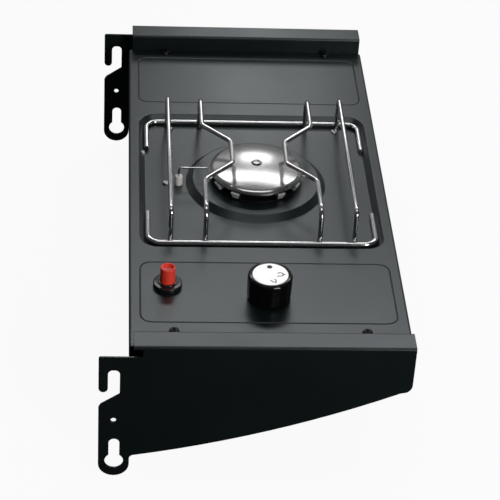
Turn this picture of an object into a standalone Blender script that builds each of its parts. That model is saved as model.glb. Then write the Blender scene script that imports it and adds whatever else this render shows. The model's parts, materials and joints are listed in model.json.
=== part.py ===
"""Gas side burner for an outdoor kitchen cart, in metres.

The origin is where the part hangs: midway between the front and rear hook slots, at their upper
ends. +X points away from the cart, +Y from the knob towards the rear bracket, and +Z up.
"""

import math

import bmesh
import bpy
from mathutils import Matrix, Vector

for old in list(bpy.data.objects):
    bpy.data.objects.remove(old, do_unlink=True)

# Overall
LENGTH = 0.600
GAP = 0.0003
PLATE_TOP = 0.0095
PLATE_CENTRE_X = 0.150

# Pressed top plate
PLATE_WIDTH = 0.2722
PLATE_SHEET = 0.0010
PLATE_BEND = 0.0022
SKIRT_DEPTH = 0.018
RETURN_DROP = 0.0042
RETURN_REACH = 0.0146
BEAD_WIDTH = 0.0016
BEAD_DEPTH = 0.0008
BEAD_CORNER = 0.012
PANEL_HALF_WIDTH = 0.1252
FRONT_STRIP = 0.0369
FRONT_WELL_STRIP = 0.0259
REAR_WELL_STRIP = 0.0249
REAR_STRIP = 0.0169
WELL_HALF_SIDE = 0.1258
WELL_Y = 0.0105
WELL_DEPTH = 0.0065
WELL_CORNER = 0.020
WELL_WALL_RUN = 0.0072
PLATEAU_RADIUS = 0.0670
PLATEAU_RISE = 0.0070
PLATEAU_WALL_RUN = 0.0076
PLATEAU_SIDES = 44
BURNER_OPENING_RADIUS = 0.0370

# End brackets
BRACKET_SHEET = 0.0020
RAIL_LEFT = 0.0180
RAIL_RIGHT = 0.2840
RAIL_HEIGHT = 0.0190
RAIL_WIDTH = 0.0250
RAIL_BEND = 0.0023
FRONT_LEDGE = 0.0330
REAR_LEDGE = 0.0145
NOTCH_RIGHT = 0.0269
NOTCH_LIP = 0.0017
TAB_LEFT = -0.0145
TAB_TOP = 0.0160
TAB_CORNER = 0.0020
SLOT_WIDTH = 0.0112
SLOT_CORNER = 0.0048
PRONG_TIP_Z = -0.0268
SLOT_MOUTH_Z = -0.0288
TAB_SHOULDER_Z = -0.0436
BOLT_HOLE_RADIUS = 0.00275
BOLT_HOLE_Z = -0.0615
KEYHOLE_X = 0.0008
KEYHOLE_TOP_Z = -0.0852
KEYHOLE_WIDTH = 0.0104
KEYHOLE_RADIUS = 0.0091
KEYHOLE_Z = -0.1135
TAB_END_RADIUS = 0.0150
TAB_END_Z = -0.1175
ARM_FILLET = 0.0045
ARM_START_Z = -0.1060
ARM_END_X = 0.2728
ARM_END_Z = -0.0262
ARM_SAG = 0.0085
ARM_CORNER = 0.0100

# Fasteners
PLATE_SCREW_HALF_SPAN = 0.0931
FRONT_SCREW_INSET = 0.0224
REAR_SCREW_INSET = 0.0062
PLATE_SCREW_RADIUS = 0.0024
PLATE_SCREW_HEAD = 0.0050
PLATE_SCREW_HEAD_HEIGHT = 0.0030
SCREW_CLEARANCE = 0.0003

# Grate
WIRE_RADIUS = 0.0026
GRATE_X = 0.1505
GRATE_Y = 0.0115
GRATE_SIDE_CLEARANCE = 0.0015
GRATE_END_CLEARANCE = 0.0046
GRATE_LEG = 0.0535
GRATE_CORNER = 0.0125
ROD_HEIGHT = 0.0325
ROD_BEND = 0.0060
OUTER_ROD_INSET = 0.0227
INNER_ROD_X = 0.0587
JOG = 0.0303
JOG_HALF_STRAIGHT = 0.0205
JOG_RUN = 0.0315
JOG_BEND = 0.0070

# Burner
BURNER_X = 0.1488
CAP_RADIUS = 0.0490
CAP_RIM_LOW = 0.0102
CAP_RIM_HIGH = 0.0135
CAP_TOP = 0.0203
CAP_SHEET = 0.0016
RIVET_HEAD = 0.0050
RIVET_SHANK = 0.0024
HEAD_TOP_RADIUS = 0.0468
HEAD_LUG_RADIUS = 0.0505
HEAD_LUG_EDGE = 0.0010
HEAD_FOOT_RADIUS = 0.0470
HEAD_INNER_RADIUS = 0.0340
HEAD_FOOT = 0.0016
HEAD_CROWN_WIDTH = 0.0035
HEAD_RING_WIDTH = 0.0070
HEAD_DRAFT = 0.0004
HEAD_PORTS = 12
PORT_WIDTH = 0.0155
PORT_SPREAD = 1.20
PORT_REACH = 0.0040
BOWL_FLANGE_RADIUS = 0.0460
BOWL_FLANGE = 0.0025
BOWL_RADIUS = 0.0375
BOWL_WALL = 0.0035
BOWL_FOOT_RISE = 0.0120
BOWL_FOOT_INSET = 0.0100
BOWL_DEPTH = 0.0460
POST_RADIUS = 0.0055
GAS_AXIS_DROP = 0.0310
TUBE_RADIUS = 0.0128
TUBE_BORE = 0.0100
MOUTH_RADIUS = 0.0160
MOUTH_BORE = 0.0125
MOUTH_LENGTH = 0.0200
SHUTTER_WALL = 0.0010
SHUTTER_LENGTH = 0.0130
SHUTTER_WINDOW = 0.0028
HEAD_SCREW_CIRCLE = 0.0412
HEAD_SCREW_RADIUS = 0.0018
STRAP_WIDTH = 0.0170
STRAP_SHEET = 0.0020
STRAP_SCREW_X = 0.0912
STRAP_SCREW_INSET = 0.0146
STRAP_SCREW_RADIUS = 0.0018
LUG_REACH = 0.0550

# Electrode
ELECTRODE_X = 0.0667
ELECTRODE_Y = 0.0085
CERAMIC_RADIUS = 0.0043
CERAMIC_TOP = 0.0038
CERAMIC_FOOT = 0.0240
CERAMIC_SHOULDER = 0.0062
ELECTRODE_WIRE_RADIUS = 0.0011
ELECTRODE_WIRE_TOP = 0.0135
SPARK_GAP = 0.0030
ELECTRODE_SCREW_X = 0.0531
ELECTRODE_SCREW_RADIUS = 0.0018
CLIP_SHEET = 0.0012
CLIP_HALF_WIDTH = 0.0068

# Push-button igniter
IGNITER_X = 0.0518
IGNITER_SET_IN = 0.0099
BEZEL_RADIUS = 0.0144
BEZEL_FLANGE = 0.0050
BEZEL_EDGE = 0.0010
COLLAR_RADIUS = 0.0096
COLLAR_TOP = 0.0062
COLLAR_EDGE = 0.0005
BUTTON_RADIUS = 0.0075
BUTTON_TOP = 0.0226
BUTTON_FOOT = 0.0180
BUTTON_SHOULDER = 0.0084
BUTTON_DISH = 0.0030
BARREL_RADIUS = 0.0106
BARREL_BORE = 0.0088
BARREL_TOP = 0.0030
BARREL_FOOT = 0.0500
BARREL_FLOOR = 0.0030
IGNITER_NUT = 0.0150
IGNITER_NUT_HEIGHT = 0.0042
PIEZO_RADIUS = 0.0040
PIEZO_LENGTH = 0.0190
TERMINAL_RADIUS = 0.0022
TERMINAL_LENGTH = 0.0080
LEAD_RADIUS = 0.0015

# Valve and knob
KNOB_X = 0.1510
KNOB_SETBACK = 0.0070
KNOB_RADIUS = 0.0222
KNOB_CROWN_RADIUS = 0.0201
KNOB_FOOT_RADIUS = 0.0217
KNOB_FOOT = 0.0026
KNOB_SHOULDER_DROP = 0.0026
KNOB_SHOULDER_INSET = 0.0004
KNOB_CROWN = 0.0278
KNOB_WALL = 0.0020
KNOB_CUP_TAPER = 0.0012
KNOB_CEILING_DROP = 0.0045
KNOB_SIDES = 48
HUB_RADIUS = 0.0058
HUB_TAPER = 0.0004
DIAL_RADIUS = 0.0176
DIAL_SHEET = 0.0006
PUSH_TRAVEL = 0.0020
STEM_RADIUS = 0.0030
STEM_TOP = 0.0215
STEM_FOOT = 0.0240
STEM_COLLAR = 0.0062
BONNET_SHEET = 0.0025
BONNET_HALF_LENGTH = 0.0185
BONNET_HALF_WIDTH = 0.0115
VALVE_SCREW_X = 0.0135
VALVE_SCREW_RADIUS = 0.0016
VALVE_RADIUS = 0.0110
VALVE_BORE = 0.0083
VALVE_FOOT = 0.0440
PLUG_RADIUS = 0.0080
PLUG_TOP = 0.0190
PLUG_FOOT = 0.0397
OUTLET_RADIUS = 0.0065
OUTLET_REACH = 0.0200
INLET_REACH = 0.0220
PORT_BORE = 0.0025
INJECTOR_HEX = 0.0062
INJECTOR_HEX_LENGTH = 0.0067
NOZZLE_RADIUS = 0.0040
NOZZLE_LENGTH = 0.0060
FITTING_HEX = 0.0085
FITTING_THREAD = 0.0070
FITTING_LENGTH = 0.0260

PLATE_HALF_LENGTH = LENGTH / 2 - RAIL_WIDTH - GAP
WELL_FLOOR = PLATE_TOP - WELL_DEPTH
PLATEAU_TOP = WELL_FLOOR + PLATEAU_RISE
UNDER_PLATE = PLATE_TOP - PLATE_SHEET - GAP
UNDER_FLOOR = WELL_FLOOR - PLATE_SHEET - GAP
UNDER_PLATEAU = PLATEAU_TOP - PLATE_SHEET - GAP
FRONT_PANEL = (FRONT_STRIP - PLATE_HALF_LENGTH, WELL_Y - WELL_HALF_SIDE - FRONT_WELL_STRIP)
REAR_PANEL = (WELL_Y + WELL_HALF_SIDE + REAR_WELL_STRIP, PLATE_HALF_LENGTH - REAR_STRIP)
FRONT_PANEL_Y = sum(FRONT_PANEL) / 2
FRONT_SCREW_Y = FRONT_SCREW_INSET - PLATE_HALF_LENGTH
REAR_SCREW_Y = PLATE_HALF_LENGTH - REAR_SCREW_INSET
IGNITER_Y = FRONT_PANEL_Y + IGNITER_SET_IN
KNOB_Y = FRONT_PANEL_Y - KNOB_SETBACK
FLOOR_HALF_SIDE = WELL_HALF_SIDE - WELL_WALL_RUN
STRAP_SCREW_Y = WELL_Y + FLOOR_HALF_SIDE - STRAP_SCREW_INSET
GRATE_HALF_WIDTH = FLOOR_HALF_SIDE - GRATE_SIDE_CLEARANCE
GRATE_HALF_LENGTH = FLOOR_HALF_SIDE - GRATE_END_CLEARANCE
OUTER_ROD_X = GRATE_HALF_WIDTH - OUTER_ROD_INSET
BURNER = Vector((BURNER_X, WELL_Y))
KNOB = Vector((KNOB_X, KNOB_Y))
GAS_LINE_TURN = math.atan2(KNOB_X - BURNER_X, WELL_Y - KNOB_Y)

parts = bpy.data.collections.new("gas_side_burner")
cutters = bpy.data.collections.new("cutters")
bpy.context.scene.collection.children.link(parts)
bpy.context.scene.collection.children.link(cutters)


def finish(name, colour, roughness, metallic):
    """One Principled material for one sub-part."""
    material = bpy.data.materials.new(name)
    material.use_nodes = True
    shader = material.node_tree.nodes["Principled BSDF"]
    shader.inputs["Base Color"].default_value = (*colour, 1.0)
    shader.inputs["Roughness"].default_value = roughness
    shader.inputs["Metallic"].default_value = metallic
    return material


SATIN_GREY = (0.125, 0.133, 0.140)
CHROME = (0.80, 0.80, 0.79)
POLISHED_STEEL = (0.76, 0.76, 0.75)
CAST_ALUMINIUM = (0.42, 0.43, 0.43)
ZINC = (0.62, 0.63, 0.64)
BLACK_SCREW = (0.02, 0.02, 0.022)
CERAMIC = (0.86, 0.85, 0.80)
RED_PLASTIC = (0.62, 0.03, 0.02)
BLACK_PLASTIC = (0.010, 0.010, 0.011)
WHITE_FACE = (0.85, 0.86, 0.87)
BRASS = (0.70, 0.52, 0.24)
RUBBER = (0.03, 0.03, 0.03)


def place(name, mesh, material, group=parts):
    """A new object holding this mesh, linked to its collection."""
    obj = bpy.data.objects.new(name, mesh)
    group.objects.link(obj)
    if material is not None:
        mesh.materials.append(material)
    if group is cutters:
        obj.hide_render = True
        obj.display_type = "WIRE"
    return obj


def from_bmesh(name, bm, material=None, group=parts, smooth_below=None):
    """Turns a finished bmesh into an object, with smooth shading below the given angle."""
    mesh = bpy.data.meshes.new(name)
    bm.to_mesh(mesh)
    bm.free()
    if smooth_below is not None:
        mesh.shade_smooth()
        mesh.set_sharp_from_angle(angle=math.radians(smooth_below))
    return place(name, mesh, material, group)


def add_rod(bm, radius, low, high, at=(0.0, 0.0), sides=24, end_radius=None, turn=None):
    """A closed cylinder or cone along Z from low to high, or along another axis after a turn."""
    centre = Matrix.Translation((at[0], at[1], (low + high) / 2))
    bmesh.ops.create_cone(
        bm,
        cap_ends=True,
        segments=sides,
        radius1=radius,
        radius2=radius if end_radius is None else end_radius,
        depth=high - low,
        matrix=centre if turn is None else turn @ centre,
    )


def add_box(bm, low, high):
    """A closed box between two corners."""
    low, high = Vector(low), Vector(high)
    middle = Matrix.Translation((low + high) / 2)
    size = Matrix.Diagonal((*(high - low), 1.0))
    bmesh.ops.create_cube(bm, size=1.0, matrix=middle @ size)


def cut(obj, bm, name):
    """Takes the shapes of a bmesh out of an object."""
    modifier = obj.modifiers.new(name, "BOOLEAN")
    modifier.operation = "DIFFERENCE"
    modifier.solver = "EXACT"
    modifier.object = from_bmesh(name, bm, group=cutters)


def join(obj, other, name):
    """Unites another object with this one."""
    modifier = obj.modifiers.new(name, "BOOLEAN")
    modifier.operation = "UNION"
    modifier.solver = "EXACT"
    modifier.object = other


def take_away(obj, other, name):
    """Takes another object out of this one."""
    modifier = obj.modifiers.new(name, "BOOLEAN")
    modifier.operation = "DIFFERENCE"
    modifier.solver = "EXACT"
    modifier.object = other


def turned(name, profile, material=None, closed=False, steps=48, group=parts):
    """A profile of (radius, height) spun about Z. It runs from the top down the outer side."""
    bm = bmesh.new()
    points = [bm.verts.new((radius, 0.0, height)) for radius, height in profile]
    for first, second in zip(points, points[1:]):
        bm.edges.new((first, second))
    if closed:
        bm.edges.new((points[-1], points[0]))
    obj = from_bmesh(name, bm, material, group)
    spin = obj.modifiers.new("turn", "SCREW")
    spin.steps = steps
    spin.render_steps = steps
    spin.use_merge_vertices = True
    spin.merge_threshold = 0.00005
    spin.use_smooth_shade = True
    return obj


def arc(centre, radius, start, end, steps):
    """Points on an arc, with angles in degrees."""
    angles = [math.radians(start + (end - start) * i / steps) for i in range(steps + 1)]
    return [(centre[0] + radius * math.cos(a), centre[1] + radius * math.sin(a)) for a in angles]


def rounded_rectangle(centre, half_x, half_y, radius, steps=4):
    """The outline of a rectangle with round corners, anticlockwise."""
    points = []
    for start, side_x, side_y in ((0, 1, 1), (90, -1, 1), (180, -1, -1), (270, 1, -1)):
        corner = (
            centre[0] + side_x * (half_x - radius),
            centre[1] + side_y * (half_y - radius),
        )
        points += arc(corner, radius, start, start + 90, steps)
    return points


def circle(centre, radius, sides):
    """The outline of a circle, anticlockwise."""
    return arc(centre, radius, 0, 360, sides)[:-1]


def add_loop(bm, points):
    """Closed ring of edges through points in space."""
    verts = [bm.verts.new(point) for point in points]
    ends = verts[1:] + verts[:1]
    return [bm.edges.new(pair) for pair in zip(verts, ends)]


def loft(bm, rings):
    """Joins rings of as many points, each point to its partner on the next ring."""
    for first, second in zip(rings, rings[1:]):
        for low, high in zip(first, second):
            bm.faces.new((*low.verts, *reversed(high.verts)))


def level(points, height):
    """Puts a flat outline at one height."""
    return [(x, y, height) for x, y in points]


def round_path(corners, radius, steps=4):
    """A path through corners in space, with each inner corner rounded."""
    path = [Vector(corners[0])]
    for before, corner, after in zip(corners, corners[1:], corners[2:]):
        corner = Vector(corner)
        back = (Vector(before) - corner).normalized()
        ahead = (Vector(after) - corner).normalized()
        half = back.angle(ahead) / 2
        reach = radius / math.tan(half)
        centre = corner + (back + ahead).normalized() * (radius / math.sin(half))
        start = corner + back * reach - centre
        end = corner + ahead * reach - centre
        turn = start.angle(end)
        axis = start.cross(end).normalized()
        for step in range(steps + 1):
            path.append(centre + Matrix.Rotation(turn * step / steps, 3, axis) @ start)
    path.append(Vector(corners[-1]))
    return path


def wire(name, path, radius, material, resolution=2):
    """Round wire along a path, with flat closed ends."""
    curve = bpy.data.curves.new(name, "CURVE")
    curve.dimensions = "3D"
    curve.bevel_depth = radius
    curve.bevel_resolution = resolution
    curve.use_fill_caps = True
    spline = curve.splines.new("POLY")
    spline.points.add(len(path) - 1)
    for point, co in zip(spline.points, path):
        point.co = (*co, 1.0)
    curve.materials.append(material)
    obj = bpy.data.objects.new(name, curve)
    parts.objects.link(obj)
    return obj


def helix(centre, radius, low, high, turns, steps_per_turn=8):
    """Points of a compression spring standing on Z."""
    count = turns * steps_per_turn
    return [
        (
            centre[0] + radius * math.cos(2 * math.pi * i / steps_per_turn),
            centre[1] + radius * math.sin(2 * math.pi * i / steps_per_turn),
            low + (high - low) * i / count,
        )
        for i in range(count + 1)
    ]


def smooth_path(points, steps):
    """A smooth path through points chosen by hand (a Catmull-Rom spline)."""
    points = [Vector(p) for p in points]
    padded = [points[0] * 2 - points[1], *points, points[-1] * 2 - points[-2]]
    path = []
    for a, b, c, d in zip(padded, padded[1:], padded[2:], padded[3:]):
        for step in range(steps):
            t = step / steps
            path.append(
                (b * 2 + (c - a) * t + (a * 2 - b * 5 + c * 4 - d) * t**2 + (b * 3 - a - c * 3 + d) * t**3)
                / 2
            )
    return [*path, points[-1]]


def add_screws(name, places, shank, head, head_height, reach, material, recess=0.0):
    """Pan-head screws, each its own object, numbered in order. A place is (x, y, seat height)."""
    profile = [
        (0.0, head_height),
        (head * 0.62, head_height * 0.90),
        (head, head_height * 0.30),
        (head, 0.0),
        (shank, 0.0),
        (shank, -reach),
        (0.0, -reach),
    ]
    for index, (x, y, seat) in enumerate(places):
        full_name = f"{name}_{index + 1}" if len(places) > 1 else name
        screw = turned(full_name, profile, material, steps=12)
        screw.location = (x, y, seat + GAP)
        if not recess:
            continue
        arm, half = head * 0.55, head * 0.18
        for label, half_x, half_y in (("slot", arm, half), ("cross", half, arm)):
            groove = bmesh.new()
            low, high = head_height - recess, head_height * 2
            add_box(groove, (-half_x, -half_y, low), (half_x, half_y, high))
            bmesh.ops.translate(groove, verts=groove.verts, vec=screw.location)
            cut(screw, groove, f"{full_name}_{label}")


def add_nuts(name, places, across, height, bore, material, sides=12):
    """Hexagon nuts, each its own object, numbered in order. A place is (x, y, top height)."""
    for index, (x, y, top) in enumerate(places):
        full_name = f"{name}_{index + 1}" if len(places) > 1 else name
        bm = bmesh.new()
        add_rod(bm, across, top - height, top, (x, y), 6)
        hole = bmesh.new()
        add_rod(hole, bore, top - height * 2, top + height, (x, y), sides)
        nut = from_bmesh(full_name, bm, material)
        cut(nut, hole, full_name + "_bore")


def upward(bm):
    """Makes an open sheet's faces agree, with its widest flat face looking up."""
    bmesh.ops.recalc_face_normals(bm, faces=bm.faces)
    widest = max(bm.faces, key=lambda face: face.calc_area())
    if widest.normal.z < 0:
        bmesh.ops.reverse_faces(bm, faces=bm.faces)


def thicken(obj, thickness):
    """Gives an open sheet its thickness, on the side away from its faces."""
    solid = obj.modifiers.new("sheet", "SOLIDIFY")
    solid.thickness = thickness
    solid.offset = -1.0
    solid.use_even_offset = True


# Top plate: one pressing with two framed panels, a square well and a round plateau for the burner
def make_top_plate():
    bm = bmesh.new()
    flat_half = PLATE_WIDTH / 2 - PLATE_BEND
    middle = (PLATE_CENTRE_X, 0.0)
    border = add_loop(
        bm,
        level(
            [
                (middle[0] + side_x * flat_half, side_y * PLATE_HALF_LENGTH)
                for side_x, side_y in ((1, -1), (1, 1), (-1, 1), (-1, -1))
            ],
            PLATE_TOP,
        ),
    )
    rims = list(border)
    for panel_low, panel_high in (FRONT_PANEL, REAR_PANEL):
        loops = []
        for inset, drop in ((0, 0), (BEAD_WIDTH / 2, BEAD_DEPTH), (BEAD_WIDTH, 0)):
            outline = rounded_rectangle(
                (PLATE_CENTRE_X, (panel_low + panel_high) / 2),
                PANEL_HALF_WIDTH + BEAD_WIDTH / 2 - inset,
                (panel_high - panel_low + BEAD_WIDTH) / 2 - inset,
                BEAD_CORNER - inset,
            )
            loops.append(add_loop(bm, level(outline, PLATE_TOP - drop)))
        loft(bm, loops)
        rims += loops[0]
        bmesh.ops.triangle_fill(bm, use_beauty=True, edges=loops[-1], normal=(0, 0, 1))
    walls = []
    for share_run, share_drop in ((0, 0), (0.16, 0.08), (0.84, 0.92), (1, 1)):
        inset = WELL_WALL_RUN * share_run
        outline = rounded_rectangle(
            (PLATE_CENTRE_X, WELL_Y),
            WELL_HALF_SIDE - inset,
            WELL_HALF_SIDE - inset,
            WELL_CORNER - inset,
            6,
        )
        walls.append(add_loop(bm, level(outline, PLATE_TOP - WELL_DEPTH * share_drop)))
    loft(bm, walls)
    bmesh.ops.triangle_fill(bm, use_beauty=True, edges=rims + walls[0], normal=(0, 0, 1))
    cones = []
    for share_run, share_rise in ((0, 0), (0.16, 0.08), (0.84, 0.92), (1, 1)):
        radius = PLATEAU_RADIUS + PLATEAU_WALL_RUN * (1 - share_run)
        ring = circle(BURNER, radius, PLATEAU_SIDES)
        cones.append(add_loop(bm, level(ring, WELL_FLOOR + PLATEAU_RISE * share_rise)))
    opening = circle(BURNER, BURNER_OPENING_RADIUS, PLATEAU_SIDES)
    cones.append(add_loop(bm, level(opening, PLATEAU_TOP)))
    loft(bm, cones)
    bmesh.ops.triangle_fill(bm, use_beauty=True, edges=walls[-1] + cones[0], normal=(0, 0, 1))
    bends = [
        (PLATE_BEND * math.sin(a), PLATE_BEND * (1 - math.cos(a)))
        for a in (math.radians(30), math.radians(60), math.radians(90))
    ]
    bends += [(PLATE_BEND, RETURN_DROP), (PLATE_BEND, SKIRT_DEPTH)]
    for side, edge in ((1, border[0]), (-1, border[2])):
        previous = (0.0, 0.0)
        for out, down in bends:
            made = bmesh.ops.extrude_edge_only(bm, edges=[edge])["geom"]
            fresh = [item for item in made if isinstance(item, bmesh.types.BMVert)]
            step = Vector((side * (out - previous[0]), 0, previous[1] - down))
            bmesh.ops.translate(bm, verts=fresh, vec=step)
            edge = next(e for e in made if isinstance(e, bmesh.types.BMEdge) and set(e.verts) == set(fresh))
            previous = (out, down)
    add_corner_return(bm)
    upward(bm)
    satin = finish("satin grey enamel", SATIN_GREY, 0.45, 0.2)
    plate = from_bmesh("top_plate", bm, satin, smooth_below=50)
    thicken(plate, PLATE_SHEET)

    holes = bmesh.new()
    deep, high = WELL_FLOOR - 0.02, PLATE_TOP + 0.01
    clear = SCREW_CLEARANCE
    for x, y, _ in plate_screw_places():
        add_rod(holes, PLATE_SCREW_RADIUS + clear, deep, high, (x, y), 16)
    for x, y, _ in strap_screw_places():
        add_rod(holes, STRAP_SCREW_RADIUS + clear, deep, high, (x, y), 16)
    for x, y, _ in head_screw_places():
        add_rod(holes, HEAD_SCREW_RADIUS + clear, deep, high, (x, y), 16)
    for x, y, _ in valve_screw_places():
        add_rod(holes, VALVE_SCREW_RADIUS + clear, deep, high, (x, y), 16)
    electrode_screw = (ELECTRODE_SCREW_X, ELECTRODE_Y)
    add_rod(holes, ELECTRODE_SCREW_RADIUS + clear, deep, high, electrode_screw, 16)
    add_rod(holes, CERAMIC_RADIUS + GAP, deep, high, (ELECTRODE_X, ELECTRODE_Y), 24)
    add_rod(holes, BARREL_RADIUS + GAP, deep, high, (IGNITER_X, IGNITER_Y), 32)
    add_rod(holes, STEM_RADIUS + 0.0012, deep, high, KNOB, 24)
    cut(plate, holes, "plate_holes")


def add_corner_return(bm):
    """Turns the left skirt's front end inwards, below the ledge, to close the bracket's notch."""
    corner = Vector((PLATE_CENTRE_X - PLATE_WIDTH / 2, -PLATE_HALF_LENGTH, 0.0))
    edge = next(
        edge
        for edge in bm.edges
        if edge.calc_length() > RETURN_DROP
        and all((vert.co - corner).xy.length < GAP for vert in edge.verts)
    )
    made = bmesh.ops.extrude_edge_only(bm, edges=[edge])["geom"]
    fresh = [item for item in made if isinstance(item, bmesh.types.BMVert)]
    bmesh.ops.translate(bm, verts=fresh, vec=(RETURN_REACH, 0.0, 0.0))


def plate_screw_places():
    return [
        (PLATE_CENTRE_X + side * PLATE_SCREW_HALF_SPAN, y, PLATE_TOP)
        for y in (FRONT_SCREW_Y, REAR_SCREW_Y)
        for side in (-1, 1)
    ]


def strap_screw_places():
    return [(GRATE_X + side * STRAP_SCREW_X, STRAP_SCREW_Y, WELL_FLOOR) for side in (-1, 1)]


def head_screw_places():
    """On the floor of two opposite ports, under the cap."""
    seat = PLATEAU_TOP + GAP + HEAD_FOOT
    pitch = 360 / HEAD_PORTS
    angles = (math.radians(pitch / 2), math.radians(pitch / 2 + 180))
    return [
        (BURNER.x + HEAD_SCREW_CIRCLE * math.cos(a), BURNER.y + HEAD_SCREW_CIRCLE * math.sin(a), seat)
        for a in angles
    ]


def valve_screw_places():
    across = Vector((math.cos(GAS_LINE_TURN), math.sin(GAS_LINE_TURN))) * VALVE_SCREW_X
    return [(*(KNOB + across * side), PLATE_TOP) for side in (-1, 1)]


# End brackets: each is one folded sheet with a hook tab, a rail and a ledge under the plate
def bracket_outline():
    """The flat face as (x, z) points, anticlockwise from the rail's right end."""
    bend_z = PLATE_TOP + RAIL_HEIGHT - RAIL_BEND
    slot_left, slot_right = -SLOT_WIDTH / 2, SLOT_WIDTH / 2
    outline = [(RAIL_RIGHT, bend_z), (RAIL_LEFT, bend_z), (RAIL_LEFT, bend_z - NOTCH_LIP)]
    outline += [(NOTCH_RIGHT, bend_z - NOTCH_LIP), (NOTCH_RIGHT, TAB_TOP)]
    outline += arc((TAB_LEFT + TAB_CORNER, TAB_TOP - TAB_CORNER), TAB_CORNER, 90, 180, 3)
    prong = (slot_left - TAB_LEFT) / 2
    outline += arc((TAB_LEFT + prong, PRONG_TIP_Z + prong), prong, 180, 360, 6)
    outline += arc((slot_left + SLOT_CORNER, -SLOT_CORNER), SLOT_CORNER, 180, 90, 5)
    outline += arc((slot_right - SLOT_CORNER, -SLOT_CORNER), SLOT_CORNER, 90, 0, 5)
    outline += [(slot_right, SLOT_MOUTH_Z), (TAB_LEFT + TAB_CORNER, TAB_SHOULDER_Z + TAB_CORNER)]
    outline += [(TAB_LEFT, TAB_SHOULDER_Z - TAB_CORNER)]
    outline += arc((TAB_LEFT + TAB_END_RADIUS, TAB_END_Z), TAB_END_RADIUS, 180, 360, 14)
    tab_right = TAB_LEFT + 2 * TAB_END_RADIUS
    start = (tab_right + ARM_FILLET, ARM_START_Z)
    outline += arc((tab_right + ARM_FILLET, ARM_START_Z - ARM_FILLET), ARM_FILLET, 180, 95, 4)
    end = (ARM_END_X, ARM_END_Z)
    chord = math.dist(start, end)
    radius = (chord**2 / 4 + ARM_SAG**2) / (2 * ARM_SAG)
    lean = math.atan2(end[1] - start[1], end[0] - start[0])
    middle = ((start[0] + end[0]) / 2, (start[1] + end[1]) / 2)
    centre = (
        middle[0] - math.sin(lean) * (radius - ARM_SAG),
        middle[1] + math.cos(lean) * (radius - ARM_SAG),
    )
    half = math.degrees(math.asin(chord / 2 / radius))
    foot = math.degrees(lean) - 90
    outline += arc(centre, radius, foot - half, foot + half, 12)[1:]
    corner_x = RAIL_RIGHT - ARM_CORNER
    outline += arc((corner_x, ARM_END_Z + ARM_CORNER), ARM_CORNER, -60, 0, 5)
    return outline


def keyhole_outline():
    half = KEYHOLE_WIDTH / 2
    lift = math.sqrt(KEYHOLE_RADIUS**2 - half**2)
    side = math.degrees(math.atan2(lift, half))
    points = arc((KEYHOLE_X, KEYHOLE_Z), KEYHOLE_RADIUS, 180 - side, 360 + side, 20)
    points += arc((KEYHOLE_X, KEYHOLE_TOP_Z - half), half, 0, 180, 8)
    return points


def rail_path(ledge):
    """The rail's section as (inward, z) points, from the flat face over the top to the ledge."""
    top = PLATE_TOP + RAIL_HEIGHT
    path = arc((RAIL_BEND, top - RAIL_BEND), RAIL_BEND, 180, 90, 4)
    path += arc((RAIL_WIDTH - RAIL_BEND, top - RAIL_BEND), RAIL_BEND, 90, 0, 4)
    path += [(RAIL_WIDTH, UNDER_PLATE), (RAIL_WIDTH + ledge, UNDER_PLATE)]
    return path


def make_bracket(name, side, ledge, screw_y):
    """side is -1 for the front bracket and 1 for the rear one, which mirrors it."""
    face_y = side * LENGTH / 2
    bm = bmesh.new()
    outline = add_loop(bm, [(x, face_y, z) for x, z in bracket_outline()])
    keyhole = add_loop(bm, [(x, face_y, z) for x, z in keyhole_outline()])
    hole = add_loop(
        bm, [(x, face_y, z) for x, z in circle((0, BOLT_HOLE_Z), BOLT_HOLE_RADIUS, 16)]
    )
    bmesh.ops.triangle_fill(
        bm, use_beauty=True, edges=outline + keyhole + hole, normal=(0, side, 0)
    )
    edge = outline[0]
    path = rail_path(ledge)
    for before, after in zip(path, path[1:]):
        made = bmesh.ops.extrude_edge_only(bm, edges=[edge])["geom"]
        fresh = [item for item in made if isinstance(item, bmesh.types.BMVert)]
        step = Vector((0, -side * (after[0] - before[0]), after[1] - before[1]))
        bmesh.ops.translate(bm, verts=fresh, vec=step)
        edge = next(e for e in made if isinstance(e, bmesh.types.BMEdge) and set(e.verts) == set(fresh))
    bmesh.ops.recalc_face_normals(bm, faces=bm.faces)
    widest = max(bm.faces, key=lambda face: face.calc_area() * abs(face.normal.y))
    if widest.normal.y * side < 0:
        bmesh.ops.reverse_faces(bm, faces=bm.faces)
    satin = finish(name + " enamel", SATIN_GREY, 0.45, 0.2)
    bracket = from_bmesh(name, bm, satin, smooth_below=50)
    thicken(bracket, BRACKET_SHEET)
    holes = bmesh.new()
    for x, y, _ in plate_screw_places():
        if y == screw_y:
            radius = PLATE_SCREW_RADIUS + SCREW_CLEARANCE
            add_rod(holes, radius, UNDER_PLATE - 0.006, UNDER_PLATE + 0.004, (x, y), 16)
    cut(bracket, holes, name + "_holes")


def make_plate_fasteners():
    black = finish("black screw", BLACK_SCREW, 0.35, 0.8)
    add_screws(
        "plate_screw",
        plate_screw_places(),
        PLATE_SCREW_RADIUS,
        PLATE_SCREW_HEAD,
        PLATE_SCREW_HEAD_HEIGHT,
        0.0115,
        black,
        recess=0.0014,
    )
    under_ledge = UNDER_PLATE - BRACKET_SHEET - GAP
    add_nuts(
        "plate_nut",
        [(x, y, under_ledge) for x, y, _ in plate_screw_places()],
        0.0046,
        0.0040,
        PLATE_SCREW_RADIUS + SCREW_CLEARANCE,
        finish("plate nut zinc", ZINC, 0.35, 0.9),
    )


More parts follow.
